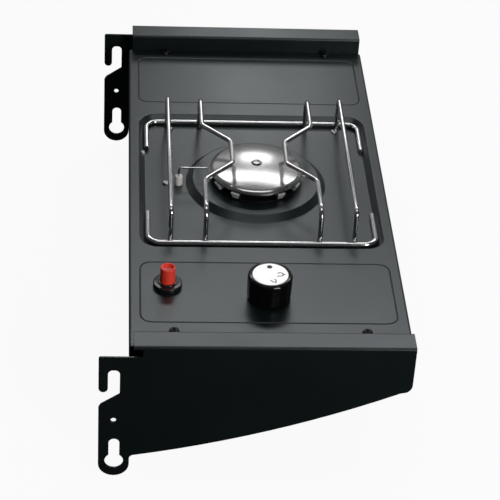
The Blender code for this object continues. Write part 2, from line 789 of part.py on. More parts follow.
# Grate: two U-shaped frame wires on the well floor and four rods that carry the pot
def make_grate():
    chrome = finish("grate chrome", CHROME, 0.12, 1.0)
    frame_z = WELL_FLOOR + GAP + WIRE_RADIUS
    for name, side in (("grate_front_wire", -1), ("grate_rear_wire", 1)):
        far = GRATE_Y + side * GRATE_HALF_LENGTH
        near = GRATE_Y + side * (GRATE_HALF_LENGTH - GRATE_LEG)
        left, right = GRATE_X - GRATE_HALF_WIDTH, GRATE_X + GRATE_HALF_WIDTH
        corners = [(left, near), (left, far), (right, far), (right, near)]
        path = round_path([(x, y, frame_z) for x, y in corners], GRATE_CORNER, 5)
        wire(name, path, WIRE_RADIUS, chrome)
    foot_z = WELL_FLOOR + GAP
    top_z = PLATE_TOP + ROD_HEIGHT
    reach = GRATE_HALF_LENGTH - 2 * WIRE_RADIUS - GAP
    rods = (
        ("grate_rod_left", -OUTER_ROD_X, 0.0),
        ("grate_rod_inner_left", -INNER_ROD_X, JOG),
        ("grate_rod_inner_right", INNER_ROD_X, -JOG),
        ("grate_rod_right", OUTER_ROD_X, 0.0),
    )
    for name, offset, jog in rods:
        x = GRATE_X + offset
        front, rear = GRATE_Y - reach, GRATE_Y + reach
        corners = [(x, front, foot_z), (x, front, top_z)]
        if jog:
            for side in (-1, 1):
                wide = GRATE_Y + side * (JOG_HALF_STRAIGHT + JOG_RUN)
                narrow = GRATE_Y + side * JOG_HALF_STRAIGHT
                pair = [(x, wide, top_z), (x + jog, narrow, top_z)]
                corners += pair if side < 0 else pair[::-1]
        corners += [(x, rear, top_z), (x, rear, foot_z)]
        wire(name, round_path(corners, ROD_BEND if not jog else JOG_BEND, 3), WIRE_RADIUS, chrome)


# Burner: a cast bowl with its mixing tube, a head with ports, and a pressed cap
def make_burner():
    steel = finish("polished cap", POLISHED_STEEL, 0.10, 1.0)
    cap_z = PLATE_TOP
    shape = (
        (RIVET_SHANK + SCREW_CLEARANCE, 0.0),
        (0.0100, 0.0),
        (0.0220, 0.0008),
        (0.0330, 0.0022),
        (0.0415, 0.0040),
        (0.0462, 0.0056),
    )
    outer = [(radius, CAP_TOP - drop) for radius, drop in shape]
    outer += [(CAP_RADIUS - 0.0008, CAP_RIM_HIGH), (CAP_RADIUS, CAP_RIM_HIGH - 0.0008)]
    outer += [(CAP_RADIUS, CAP_RIM_LOW), (CAP_RADIUS - CAP_SHEET, CAP_RIM_LOW)]
    inner = [(CAP_RADIUS - CAP_SHEET, CAP_RIM_HIGH - CAP_SHEET)]
    inner += [(radius, CAP_TOP - drop - CAP_SHEET) for radius, drop in (shape[3], shape[0])]
    cap = turned("burner_cap", outer + inner, steel, closed=True, steps=44)
    cap.location = (BURNER.x, BURNER.y, cap_z)

    rivet_seat = CAP_TOP + GAP
    rivet = turned(
        "cap_rivet",
        [
            (0.0, rivet_seat + 0.0002),
            (0.0022, rivet_seat + 0.0002),
            (0.0032, rivet_seat + 0.0011),
            (0.0044, rivet_seat + 0.0010),
            (RIVET_HEAD, rivet_seat),
            (RIVET_SHANK, rivet_seat),
            (RIVET_SHANK, rivet_seat - 0.0130),
            (0.0, rivet_seat - 0.0130),
        ],
        finish("cap rivet steel", POLISHED_STEEL, 0.2, 1.0),
        steps=24,
    )
    rivet.location = (BURNER.x, BURNER.y, cap_z)

    aluminium = finish("burner head casting", CAST_ALUMINIUM, 0.5, 0.9)
    foot = PLATEAU_TOP + GAP
    crown = cap_z + CAP_RIM_HIGH - CAP_SHEET - GAP - HEAD_DRAFT
    brim = cap_z + CAP_RIM_LOW - GAP
    head = turned(
        "burner_head",
        [
            (HEAD_TOP_RADIUS - HEAD_CROWN_WIDTH, crown),
            (HEAD_TOP_RADIUS, crown),
            (HEAD_TOP_RADIUS, brim),
            (HEAD_LUG_RADIUS - HEAD_LUG_EDGE, brim),
            (HEAD_LUG_RADIUS, brim - HEAD_LUG_EDGE),
            (HEAD_FOOT_RADIUS + HEAD_DRAFT, foot + HEAD_FOOT),
            (HEAD_FOOT_RADIUS, foot),
            (HEAD_INNER_RADIUS, foot),
            (HEAD_INNER_RADIUS, foot + HEAD_FOOT),
            (HEAD_TOP_RADIUS - HEAD_RING_WIDTH, crown),
        ],
        aluminium,
        closed=True,
        steps=32,
    )
    head.location = (BURNER.x, BURNER.y, 0)
    pitch = math.tau / HEAD_PORTS
    floor = foot + HEAD_FOOT
    turns = [pitch * (index + 0.5) for index in range(HEAD_PORTS)]
    turns += [math.radians(90), math.radians(270)]
    for index, angle in enumerate(turns):
        turn = Matrix.Rotation(angle, 4, "Z")
        slot = bmesh.new()
        add_box(
            slot,
            (HEAD_INNER_RADIUS - PORT_REACH, -PORT_WIDTH / 2, floor),
            (HEAD_LUG_RADIUS + PORT_REACH, PORT_WIDTH / 2, crown + PORT_REACH),
        )
        for vert in slot.verts:
            if vert.co.z < floor + GAP:
                vert.co.y *= PORT_SPREAD
        bmesh.ops.transform(
            slot, matrix=Matrix.Translation((*BURNER, 0)) @ turn, verts=slot.verts
        )
        cut(head, slot, f"head_port_{index + 1}")
    holes = bmesh.new()
    for x, y, _ in head_screw_places():
        add_rod(holes, HEAD_SCREW_RADIUS + SCREW_CLEARANCE, foot - 0.002, floor + 0.002, (x, y), 16)
    cut(head, holes, "head_holes")
    zinc = finish("burner screw zinc", ZINC, 0.3, 0.9)
    add_screws("head_screw", head_screw_places(), HEAD_SCREW_RADIUS, 0.0032, 0.0020, 0.0110, zinc)

    make_burner_body(cap_z)


def make_burner_body(cap_z):
    cast = finish("burner body casting", CAST_ALUMINIUM, 0.55, 0.8)
    flange_top = UNDER_PLATEAU
    flange_low = flange_top - BOWL_FLANGE
    floor = PLATE_TOP - BOWL_DEPTH
    body = turned(
        "burner_body",
        [
            (0.0, flange_top),
            (BOWL_FLANGE_RADIUS, flange_top),
            (BOWL_FLANGE_RADIUS, flange_low),
            (BOWL_RADIUS, flange_low),
            (BOWL_RADIUS, floor + BOWL_FOOT_RISE),
            (BOWL_RADIUS - BOWL_FOOT_INSET, floor),
            (0.0, floor),
        ],
        cast,
        steps=32,
    )
    body.location = (BURNER.x, BURNER.y, 0)

    gas_z = PLATE_TOP - GAS_AXIS_DROP
    line = Matrix.Translation((BURNER.x, BURNER.y, gas_z)) @ Matrix.Rotation(GAS_LINE_TURN, 4, "Z")
    lie = Matrix.Rotation(math.radians(90), 4, "X")
    mouth = mouth_distance()
    tube = turned(
        "mixing_tube",
        [
            (0.0, mouth),
            (MOUTH_RADIUS, mouth),
            (MOUTH_RADIUS, mouth - MOUTH_LENGTH),
            (TUBE_RADIUS, mouth - MOUTH_LENGTH * 2),
            (TUBE_RADIUS, BOWL_RADIUS * 0.55),
            (0.0, BOWL_RADIUS * 0.55),
        ],
        steps=24,
        group=cutters,
    )
    tube.matrix_world = line @ lie
    join(body, tube, "tube")

    inner_floor = floor + BOWL_WALL
    inner_radius = BOWL_RADIUS - BOWL_WALL
    cavity = turned(
        "bowl_cavity",
        [
            (0.0, flange_top + 0.004),
            (inner_radius, flange_top + 0.004),
            (inner_radius, inner_floor + BOWL_FOOT_RISE),
            (inner_radius - BOWL_FOOT_INSET, inner_floor),
            (0.0, inner_floor),
        ],
        steps=32,
        group=cutters,
    )
    cavity.location = (BURNER.x, BURNER.y, 0)
    take_away(body, cavity, "cavity")
    bore = turned(
        "tube_bore",
        [
            (0.0, mouth + 0.004),
            (MOUTH_BORE, mouth + 0.004),
            (MOUTH_BORE, mouth - MOUTH_LENGTH),
            (TUBE_BORE, mouth - MOUTH_LENGTH * 2),
            (TUBE_BORE, BOWL_RADIUS * 0.4),
            (0.0, BOWL_RADIUS * 0.4),
        ],
        steps=20,
        group=cutters,
    )
    bore.matrix_world = line @ lie
    take_away(body, bore, "bore")

    cap_under = cap_z + CAP_TOP - CAP_SHEET
    post = turned(
        "cap_post",
        [
            (0.0, cap_under - GAP),
            (POST_RADIUS, cap_under - GAP),
            (POST_RADIUS + 0.001, inner_floor - 0.001),
            (0.0, inner_floor - 0.001),
        ],
        steps=20,
        group=cutters,
    )
    post.location = (BURNER.x, BURNER.y, 0)
    join(body, post, "post")
    strap_under = UNDER_FLOOR - STRAP_SHEET - GAP
    lug = bmesh.new()
    add_box(
        lug,
        (BURNER.x - STRAP_WIDTH / 2, BURNER.y + BOWL_RADIUS * 0.97, strap_under - 0.0045),
        (BURNER.x + STRAP_WIDTH / 2, BURNER.y + LUG_REACH + STRAP_WIDTH / 2, strap_under),
    )
    join(body, from_bmesh("rear_lug", lug, group=cutters), "lug")

    holes = bmesh.new()
    add_rod(holes, RIVET_SHANK + SCREW_CLEARANCE, cap_under - 0.016, cap_under + 0.003, BURNER, 16)
    for x, y, _ in head_screw_places():
        radius = HEAD_SCREW_RADIUS + SCREW_CLEARANCE
        add_rod(holes, radius, flange_low - 0.01, flange_top + 0.002, (x, y), 16)
    bolt = (BURNER.x, BURNER.y + LUG_REACH)
    add_rod(holes, STRAP_SCREW_RADIUS + SCREW_CLEARANCE, strap_under - 0.01, strap_under + 0.004, bolt, 16)
    cut(body, holes, "body_holes")


def mouth_distance():
    """How far the mixing tube's mouth is from the burner's centre, just short of the valve."""
    return (KNOB - BURNER).length - OUTLET_REACH - GAP - INJECTOR_HEX_LENGTH - NOZZLE_LENGTH / 3


def make_air_shutter():
    mouth = mouth_distance()
    inner = MOUTH_RADIUS + GAP
    outer = inner + SHUTTER_WALL
    end = mouth + GAP + SHUTTER_WALL
    shutter = turned(
        "air_shutter",
        [
            (INJECTOR_HEX + 0.0008, end),
            (outer, end),
            (outer, end - SHUTTER_LENGTH),
            (inner, end - SHUTTER_LENGTH),
            (inner, end - SHUTTER_WALL),
            (INJECTOR_HEX + 0.0008, end - SHUTTER_WALL),
        ],
        finish("air shutter zinc", ZINC, 0.4, 0.9),
        closed=True,
        steps=24,
    )
    gas_z = PLATE_TOP - GAS_AXIS_DROP
    line = Matrix.Translation((BURNER.x, BURNER.y, gas_z)) @ Matrix.Rotation(GAS_LINE_TURN, 4, "Z")
    shutter.matrix_world = line @ Matrix.Rotation(math.radians(90), 4, "X")
    windows = bmesh.new()
    for quarter in range(4):
        turn = math.radians(45 + 90 * quarter)
        ring = (INJECTOR_HEX + inner) / 2 + 0.0004
        at = (ring * math.cos(turn), ring * math.sin(turn))
        add_rod(windows, SHUTTER_WINDOW, end - 0.004, end + 0.004, at, 12, turn=shutter.matrix_world)
    cut(shutter, windows, "shutter_windows")


def make_strap():
    """T-shaped strap under the well, from the two rear screws to the burner's rear lug."""
    top = UNDER_FLOOR
    low = top - STRAP_SHEET
    half = STRAP_WIDTH / 2
    bolt_y = BURNER.y + LUG_REACH
    bm = bmesh.new()
    reach = STRAP_SCREW_X + half
    add_box(bm, (GRATE_X - reach, STRAP_SCREW_Y - half, low), (GRATE_X + reach, STRAP_SCREW_Y + half, top))
    strap = from_bmesh("burner_strap", bm, finish("strap zinc", ZINC, 0.45, 0.8))
    bm = bmesh.new()
    add_box(bm, (BURNER.x - half, bolt_y - half, low), (BURNER.x + half, STRAP_SCREW_Y, top))
    join(strap, from_bmesh("strap_leg", bm, group=cutters), "leg")
    holes = bmesh.new()
    for x, y, _ in strap_screw_places():
        add_rod(holes, STRAP_SCREW_RADIUS + SCREW_CLEARANCE, low - 0.003, top + 0.003, (x, y), 16)
    add_rod(holes, STRAP_SCREW_RADIUS + SCREW_CLEARANCE, low - 0.003, top + 0.003, (BURNER.x, bolt_y), 16)
    cut(strap, holes, "strap_holes")

    silver = finish("bright screw", ZINC, 0.2, 1.0)
    places = strap_screw_places()
    add_screws("strap_screw", places, STRAP_SCREW_RADIUS, 0.0032, 0.0019, 0.0095, silver)
    add_screws(
        "lug_bolt", [(BURNER.x, bolt_y, top)], STRAP_SCREW_RADIUS, 0.0034, 0.0024, 0.0125, silver
    )
    nuts = [(x, y, low - GAP) for x, y, _ in places]
    nuts.append((BURNER.x, bolt_y, low - 2 * GAP - 0.0045))
    add_nuts(
        "strap_nut", nuts, 0.0038, 0.0030, STRAP_SCREW_RADIUS + SCREW_CLEARANCE,
        finish("strap nut zinc", ZINC, 0.35, 0.9),
    )


# Spark electrode: a ceramic held under the well floor by a clip, with its wire bent to the cap
def make_electrode():
    shoulder_top = UNDER_FLOOR
    shoulder_low = shoulder_top - 0.0030
    bore = ELECTRODE_WIRE_RADIUS + GAP
    insulator = turned(
        "electrode_insulator",
        [
            (bore, PLATE_TOP + CERAMIC_TOP),
            (CERAMIC_RADIUS - 0.0010, PLATE_TOP + CERAMIC_TOP),
            (CERAMIC_RADIUS, PLATE_TOP + CERAMIC_TOP - 0.0010),
            (CERAMIC_RADIUS, shoulder_top),
            (CERAMIC_SHOULDER, shoulder_top),
            (CERAMIC_SHOULDER, shoulder_low),
            (CERAMIC_RADIUS - 0.0003, shoulder_low),
            (CERAMIC_RADIUS - 0.0003, PLATE_TOP - CERAMIC_FOOT),
            (bore, PLATE_TOP - CERAMIC_FOOT),
        ],
        finish("white ceramic", CERAMIC, 0.35, 0.0),
        closed=True,
        steps=24,
    )
    insulator.location = (ELECTRODE_X, ELECTRODE_Y, 0)
    tip_x = BURNER_X - CAP_RADIUS - SPARK_GAP
    corners = [
        (ELECTRODE_X, ELECTRODE_Y, PLATE_TOP - CERAMIC_FOOT - 0.0045),
        (ELECTRODE_X, ELECTRODE_Y, PLATE_TOP + ELECTRODE_WIRE_TOP),
        (tip_x, ELECTRODE_Y, PLATE_TOP + ELECTRODE_WIRE_TOP),
    ]
    steel = finish("electrode wire steel", POLISHED_STEEL, 0.3, 1.0)
    wire("electrode_wire", round_path(corners, 0.0030, 5), ELECTRODE_WIRE_RADIUS, steel)

    seat = UNDER_FLOOR
    low = shoulder_low - GAP
    left = ELECTRODE_SCREW_X - 0.0060
    step = ELECTRODE_SCREW_X + 0.0045
    path = [
        (left, seat),
        (step, seat),
        (step + 0.0020, low),
        (ELECTRODE_X + 0.0075, low),
    ]
    bm = bmesh.new()
    verts = [bm.verts.new((x, ELECTRODE_Y - CLIP_HALF_WIDTH, z)) for x, z in path]
    edges = [bm.edges.new(pair) for pair in zip(verts, verts[1:])]
    made = bmesh.ops.extrude_edge_only(bm, edges=edges)["geom"]
    fresh = [item for item in made if isinstance(item, bmesh.types.BMVert)]
    bmesh.ops.translate(bm, verts=fresh, vec=(0, CLIP_HALF_WIDTH * 2, 0))
    upward(bm)
    clip = from_bmesh("electrode_clip", bm, finish("electrode clip zinc", ZINC, 0.4, 0.9))
    thicken(clip, CLIP_SHEET)
    holes = bmesh.new()
    place_of_screw = (ELECTRODE_SCREW_X, ELECTRODE_Y)
    add_rod(holes, ELECTRODE_SCREW_RADIUS + SCREW_CLEARANCE, low - 0.006, seat + 0.003, place_of_screw, 16)
    add_rod(holes, CERAMIC_RADIUS, low - 0.006, seat + 0.003, (ELECTRODE_X, ELECTRODE_Y), 20)
    cut(clip, holes, "clip_holes")
    add_screws(
        "electrode_screw",
        [(ELECTRODE_SCREW_X, ELECTRODE_Y, WELL_FLOOR)],
        ELECTRODE_SCREW_RADIUS,
        0.0034,
        0.0022,
        0.0090,
        finish("electrode screw steel", ZINC, 0.2, 1.0),
    )


# Igniter: a piezo barrel through the plate, held by a nut, with a sprung red button
def make_igniter():
    black = finish("igniter black plastic", BLACK_PLASTIC, 0.35, 0.0)
    at = (IGNITER_X, IGNITER_Y, 0)
    top = PLATE_TOP
    collar_bore = BUTTON_RADIUS + GAP
    bezel = turned(
        "igniter_bezel",
        [
            (collar_bore, top + COLLAR_TOP),
            (COLLAR_RADIUS - COLLAR_EDGE, top + COLLAR_TOP),
            (COLLAR_RADIUS, top + COLLAR_TOP - COLLAR_EDGE),
            (COLLAR_RADIUS, top + BEZEL_FLANGE),
            (BEZEL_RADIUS - BEZEL_EDGE, top + BEZEL_FLANGE),
            (BEZEL_RADIUS, top + BEZEL_FLANGE - BEZEL_EDGE),
            (BEZEL_RADIUS, top + GAP),
            (BARREL_RADIUS + GAP, top + GAP),
            (BARREL_RADIUS + GAP, top + BARREL_TOP + GAP),
            (collar_bore, top + BARREL_TOP + GAP),
        ],
        black,
        closed=True,
        steps=24,
    )
    bezel.location = at
    foot = top - BARREL_FOOT
    barrel = turned(
        "igniter_barrel",
        [
            (BARREL_BORE, top + BARREL_TOP),
            (BARREL_RADIUS, top + BARREL_TOP),
            (BARREL_RADIUS, foot + 0.001),
            (BARREL_RADIUS - 0.001, foot),
            (TERMINAL_RADIUS, foot),
            (TERMINAL_RADIUS, foot - TERMINAL_LENGTH),
            (0.0, foot - TERMINAL_LENGTH),
        ],
        finish("igniter barrel plastic", BLACK_PLASTIC, 0.5, 0.0),
        steps=32,
    )
    inside = (
        (0.0, foot + BARREL_FLOOR),
        (BARREL_BORE, foot + BARREL_FLOOR),
    )
    bm = bmesh.new()
    bm.from_mesh(barrel.data)
    bm.verts.ensure_lookup_table()
    lip = bm.verts[0]
    for radius, height in reversed(inside):
        inner = bm.verts.new((radius, 0.0, height))
        bm.edges.new((inner, lip))
        lip = inner
    bm.to_mesh(barrel.data)
    bm.free()
    barrel.location = at
    add_nuts(
        "igniter_nut",
        [(IGNITER_X, IGNITER_Y, UNDER_PLATE)],
        IGNITER_NUT,
        IGNITER_NUT_HEIGHT,
        BARREL_RADIUS + GAP,
        finish("igniter nut plastic", BLACK_PLASTIC, 0.5, 0.0),
        sides=32,
    )
    dish = top + BUTTON_TOP - BUTTON_DISH
    button = turned(
        "igniter_button",
        [
            (0.0, dish),
            (BUTTON_RADIUS - 0.0028, dish),
            (BUTTON_RADIUS - 0.0020, top + BUTTON_TOP),
            (BUTTON_RADIUS - 0.0006, top + BUTTON_TOP),
            (BUTTON_RADIUS, top + BUTTON_TOP - 0.0008),
            (BUTTON_RADIUS, top + BARREL_TOP - GAP),
            (BUTTON_SHOULDER, top + BARREL_TOP - GAP),
            (BUTTON_SHOULDER, top - BUTTON_FOOT),
            (0.0, top - BUTTON_FOOT),
        ],
        finish("red button plastic", RED_PLASTIC, 0.3, 0.0),
        steps=32,
    )
    button.location = at
    floor = foot + BARREL_FLOOR
    piezo = turned(
        "piezo_unit",
        [
            (0.0, floor + GAP + PIEZO_LENGTH),
            (PIEZO_RADIUS, floor + GAP + PIEZO_LENGTH - 0.0005),
            (PIEZO_RADIUS, floor + GAP),
            (0.0, floor + GAP),
        ],
        finish("piezo ceramic", CERAMIC, 0.4, 0.0),
        steps=20,
    )
    piezo.location = at
    spring_wire = 0.0005
    coil = helix(
        (IGNITER_X, IGNITER_Y),
        0.0065,
        floor + GAP + spring_wire,
        top - BUTTON_FOOT - GAP - spring_wire,
        6,
    )
    wire("igniter_spring", coil, spring_wire, finish("igniter spring steel", ZINC, 0.3, 1.0), 1)


# Ignition lead: an insulated wire from the igniter's terminal to the foot of the electrode
def make_lead():
    rubber = finish("lead rubber", RUBBER, 0.6, 0.0)
    igniter_end = PLATE_TOP - BARREL_FOOT - TERMINAL_LENGTH
    electrode_end = PLATE_TOP - CERAMIC_FOOT - 0.0045
    clip_z = UNDER_FLOOR - 0.0050
    route = [
        (IGNITER_X, IGNITER_Y, igniter_end - 0.0006),
        (IGNITER_X, IGNITER_Y, igniter_end - 0.0080),
        (IGNITER_X + 0.0010, IGNITER_Y + 0.0070, igniter_end - 0.0165),
        (IGNITER_X + 0.0030, IGNITER_Y + 0.0230, igniter_end - 0.0150),
        (IGNITER_X + 0.0060, IGNITER_Y + 0.0480, igniter_end + 0.0060),
        (IGNITER_X + 0.0095, IGNITER_Y + 0.0760, igniter_end + 0.0320),
        (ELECTRODE_X - 0.0030, -0.0760, clip_z - 0.0040),
        (ELECTRODE_X - 0.0015, -0.0600, clip_z),
        (ELECTRODE_X - 0.0015, -0.0500, clip_z),
        (ELECTRODE_X - 0.0010, -0.0350, clip_z - 0.0050),
        (ELECTRODE_X, -0.0150, electrode_end - 0.0180),
        (ELECTRODE_X, 0.0010, electrode_end - 0.0250),
        (ELECTRODE_X, ELECTRODE_Y - 0.0012, electrode_end - 0.0200),
        (ELECTRODE_X, ELECTRODE_Y, electrode_end - 0.0080),
        (ELECTRODE_X, ELECTRODE_Y, electrode_end - 0.0006),
    ]
    wire("ignition_lead", smooth_path(route, 3), LEAD_RADIUS, rubber, 2)
    boot_wall = 0.0012
    for name, x, y, high, low, bore in (
        ("igniter_boot", IGNITER_X, IGNITER_Y, igniter_end + 0.0055, igniter_end - 0.0045, TERMINAL_RADIUS),
        ("electrode_boot", ELECTRODE_X, ELECTRODE_Y, electrode_end + 0.0035, electrode_end - 0.0055, LEAD_RADIUS),
    ):
        boot = turned(
            name,
            [
                (bore + GAP, high),
                (bore + GAP + boot_wall, high),
                (bore + GAP + boot_wall, low + 0.0015),
                (bore + GAP + boot_wall * 0.6, low),
                (bore + GAP, low),
            ],
            finish(name + " rubber", RUBBER, 0.6, 0.0),
            closed=True,
            steps=16,
        )
        boot.location = (x, y, 0)
    clip_x, clip_y = ELECTRODE_X - 0.0015, -0.0550
    bm = bmesh.new()
    low_z = clip_z - LEAD_RADIUS - 0.0016
    add_box(bm, (clip_x - 0.0050, clip_y - 0.0030, low_z), (clip_x + 0.0050, clip_y + 0.0030, UNDER_FLOOR))
    clip = from_bmesh("lead_clip", bm, finish("lead clip plastic", BLACK_PLASTIC, 0.5, 0.0))
    bore = bmesh.new()
    lie = Matrix.Translation((clip_x, clip_y, clip_z)) @ Matrix.Rotation(math.radians(90), 4, "X")
    add_rod(bore, LEAD_RADIUS + 0.0006, -0.010, 0.010, sides=16, turn=lie)
    cut(clip, bore, "lead_clip_bore")


# Valve: a brass body under the plate, its plug, stem and spring, the injector and the inlet
def make_valve():
    brass = finish("valve brass", BRASS, 0.3, 1.0)
    stand = Matrix.Translation((*KNOB, PLATE_TOP)) @ Matrix.Rotation(GAS_LINE_TURN, 4, "Z")
    gas_centre = stand @ Matrix.Translation((0, 0, -GAS_AXIS_DROP))
    to_burner = gas_centre @ Matrix.Rotation(math.radians(-90), 4, "X")
    to_cart = gas_centre @ Matrix.Rotation(math.radians(-90), 4, "Y")
    bonnet_top = -PLATE_SHEET - GAP
    bonnet_low = bonnet_top - BONNET_SHEET
    body_top = bonnet_low - GAP

    body = turned(
        "valve_body",
        [(0.0, body_top), (VALVE_RADIUS, body_top), (VALVE_RADIUS, -VALVE_FOOT), (0.0, -VALVE_FOOT)],
        brass,
        steps=32,
    )
    body.matrix_world = stand
    ports = bmesh.new()
    add_rod(ports, OUTLET_RADIUS, VALVE_BORE + 0.0005, OUTLET_REACH, sides=20, turn=to_burner)
    join(body, from_bmesh("outlet_boss", ports, group=cutters), "outlet")
    ports = bmesh.new()
    add_rod(ports, FITTING_THREAD, VALVE_BORE + 0.0005, INLET_REACH, sides=20, turn=to_cart)
    join(body, from_bmesh("inlet_boss", ports, group=cutters), "inlet")
    bores = bmesh.new()
    add_rod(bores, VALVE_BORE, -VALVE_FOOT + 0.004, body_top + 0.004, sides=28, turn=stand)
    cut(body, bores, "plug_bore")
    bores = bmesh.new()
    add_rod(bores, PORT_BORE, VALVE_BORE - 0.003, OUTLET_REACH + 0.003, sides=12, turn=to_burner)
    add_rod(bores, PORT_BORE, VALVE_BORE - 0.003, INLET_REACH + 0.003, sides=12, turn=to_cart)
    cut(body, bores, "gas_ports")

    bm = bmesh.new()
    add_box(
        bm,
        (-BONNET_HALF_LENGTH, -BONNET_HALF_WIDTH, bonnet_low),
        (BONNET_HALF_LENGTH, BONNET_HALF_WIDTH, bonnet_top),
    )
    uprights = [e for e in bm.edges if abs(e.verts[0].co.z - e.verts[1].co.z) > BONNET_SHEET / 2]
    bmesh.ops.bevel(
        bm, geom=uprights, offset=0.005, segments=4, profile=0.5, affect="EDGES", material=-1
    )
    bmesh.ops.transform(bm, matrix=stand, verts=bm.verts)
    bonnet = from_bmesh("valve_bonnet", bm, finish("bonnet brass", BRASS, 0.35, 1.0))
    holes = bmesh.new()
    span = (PLATE_TOP + bonnet_low - 0.003, PLATE_TOP + bonnet_top + 0.003)
    add_rod(holes, STEM_RADIUS + GAP, *span, KNOB, 24)
    for x, y, _ in valve_screw_places():
        add_rod(holes, VALVE_SCREW_RADIUS + SCREW_CLEARANCE, *span, (x, y), 16)
    cut(bonnet, holes, "bonnet_holes")
    add_screws(
        "valve_screw",
        valve_screw_places(),
        VALVE_SCREW_RADIUS,
        0.0030,
        0.0018,
        0.0080,
        finish("valve screw steel", ZINC, 0.3, 0.9),
    )

    plug = turned(
        "valve_plug",
        [
            (STEM_RADIUS + GAP, -PLUG_TOP),
            (PLUG_RADIUS, -PLUG_TOP),
            (PLUG_RADIUS - 0.0006, -PLUG_FOOT),
            (0.0, -PLUG_FOOT),
        ],
        finish("plug brass", BRASS, 0.25, 1.0),
        steps=28,
    )
    socket_floor = -STEM_FOOT - PUSH_TRAVEL - GAP
    bm = bmesh.new()
    bm.from_mesh(plug.data)
    bm.verts.ensure_lookup_table()
    lip = bm.verts[0]
    for radius, height in ((STEM_RADIUS + GAP, socket_floor), (0.0, socket_floor)):
        inner = bm.verts.new((radius, 0.0, height))
        bm.edges.new((inner, lip))
        lip = inner
    bm.to_mesh(plug.data)
    bm.free()
    plug.location = (*KNOB, PLATE_TOP)
    across = bmesh.new()
    slant = plug_passage_matrix()
    add_rod(across, PORT_BORE * 0.8, -PLUG_RADIUS * 1.5, PLUG_RADIUS * 1.5, sides=12, turn=slant)
    cut(plug, across, "plug_passage")

    collar_top = bonnet_low - GAP
    stem = turned(
        "valve_stem",
        [
            (0.0, STEM_TOP),
            (STEM_RADIUS - 0.0005, STEM_TOP),
            (STEM_RADIUS, STEM_TOP - 0.0005),
            (STEM_RADIUS, collar_top),
            (STEM_COLLAR, collar_top),
            (STEM_COLLAR, collar_top - 0.0022),
            (STEM_RADIUS, collar_top - 0.0022),
            (STEM_RADIUS, -STEM_FOOT),
            (0.0, -STEM_FOOT),
        ],
        finish("stem brass", BRASS, 0.3, 1.0),
        steps=24,
    )
    stem.location = (*KNOB, PLATE_TOP)
    flat = bmesh.new()
    side = STEM_RADIUS * 0.55
    add_box(
        flat,
        (KNOB.x - 0.01, KNOB.y + side, PLATE_TOP + STEM_TOP - 0.0090),
        (KNOB.x + 0.01, KNOB.y + 0.01, PLATE_TOP + STEM_TOP + 0.004),
    )
    cut(stem, flat, "stem_flat")

    spring_wire = 0.00045
    coil = helix(
        KNOB,
        0.0052,
        PLATE_TOP - PLUG_TOP + GAP + spring_wire,
        PLATE_TOP + collar_top - 0.0022 - GAP - spring_wire,
        4,
    )
    wire("valve_spring", coil, spring_wire, finish("valve spring steel", ZINC, 0.3, 1.0), 1)

    start = OUTLET_REACH + GAP
    step = start + INJECTOR_HEX_LENGTH
    end = step + NOZZLE_LENGTH
    bm = bmesh.new()
    add_rod(bm, INJECTOR_HEX, start, step, sides=6, turn=to_burner)
    injector = from_bmesh("injector", bm, finish("injector brass", BRASS, 0.3, 1.0))
    bm = bmesh.new()
    add_rod(bm, NOZZLE_RADIUS, step - 0.002, end, sides=20, end_radius=NOZZLE_RADIUS * 0.8, turn=to_burner)
    join(injector, from_bmesh("nozzle", bm, group=cutters), "nozzle")
    bm = bmesh.new()
    add_rod(bm, 0.0010, start - 0.003, end + 0.003, sides=10, turn=to_burner)
    cut(injector, bm, "orifice")

    start = INLET_REACH + GAP
    step = start + FITTING_LENGTH * 0.35
    end = start + FITTING_LENGTH
    bm = bmesh.new()
    add_rod(bm, FITTING_HEX, start, step, sides=6, turn=to_cart)
    fitting = from_bmesh("inlet_fitting", bm, finish("inlet brass", BRASS, 0.3, 1.0))
    bm = bmesh.new()
    add_rod(bm, FITTING_THREAD, step - 0.002, end - 0.004, sides=24, turn=to_cart)
    join(fitting, from_bmesh("fitting_thread", bm, group=cutters), "thread")
    bm = bmesh.new()
    nose, tip = FITTING_THREAD * 0.95, FITTING_THREAD * 0.72
    add_rod(bm, nose, end - 0.005, end, sides=24, end_radius=tip, turn=to_cart)
    join(fitting, from_bmesh("fitting_nose", bm, group=cutters), "nose")
    bm = bmesh.new()
    add_rod(bm, PORT_BORE, start - 0.003, end + 0.003, sides=16, turn=to_cart)
    cut(fitting, bm, "fitting_bore")


def plug_passage_matrix():
    """Across the plug at the ports' height, and turned away from both while the gas is off."""
    away = Matrix.Rotation(math.radians(45), 4, "Z")
    lie = Matrix.Rotation(math.radians(90), 4, "X")
    return Matrix.Translation((*KNOB, PLATE_TOP - GAS_AXIS_DROP)) @ away @ lie


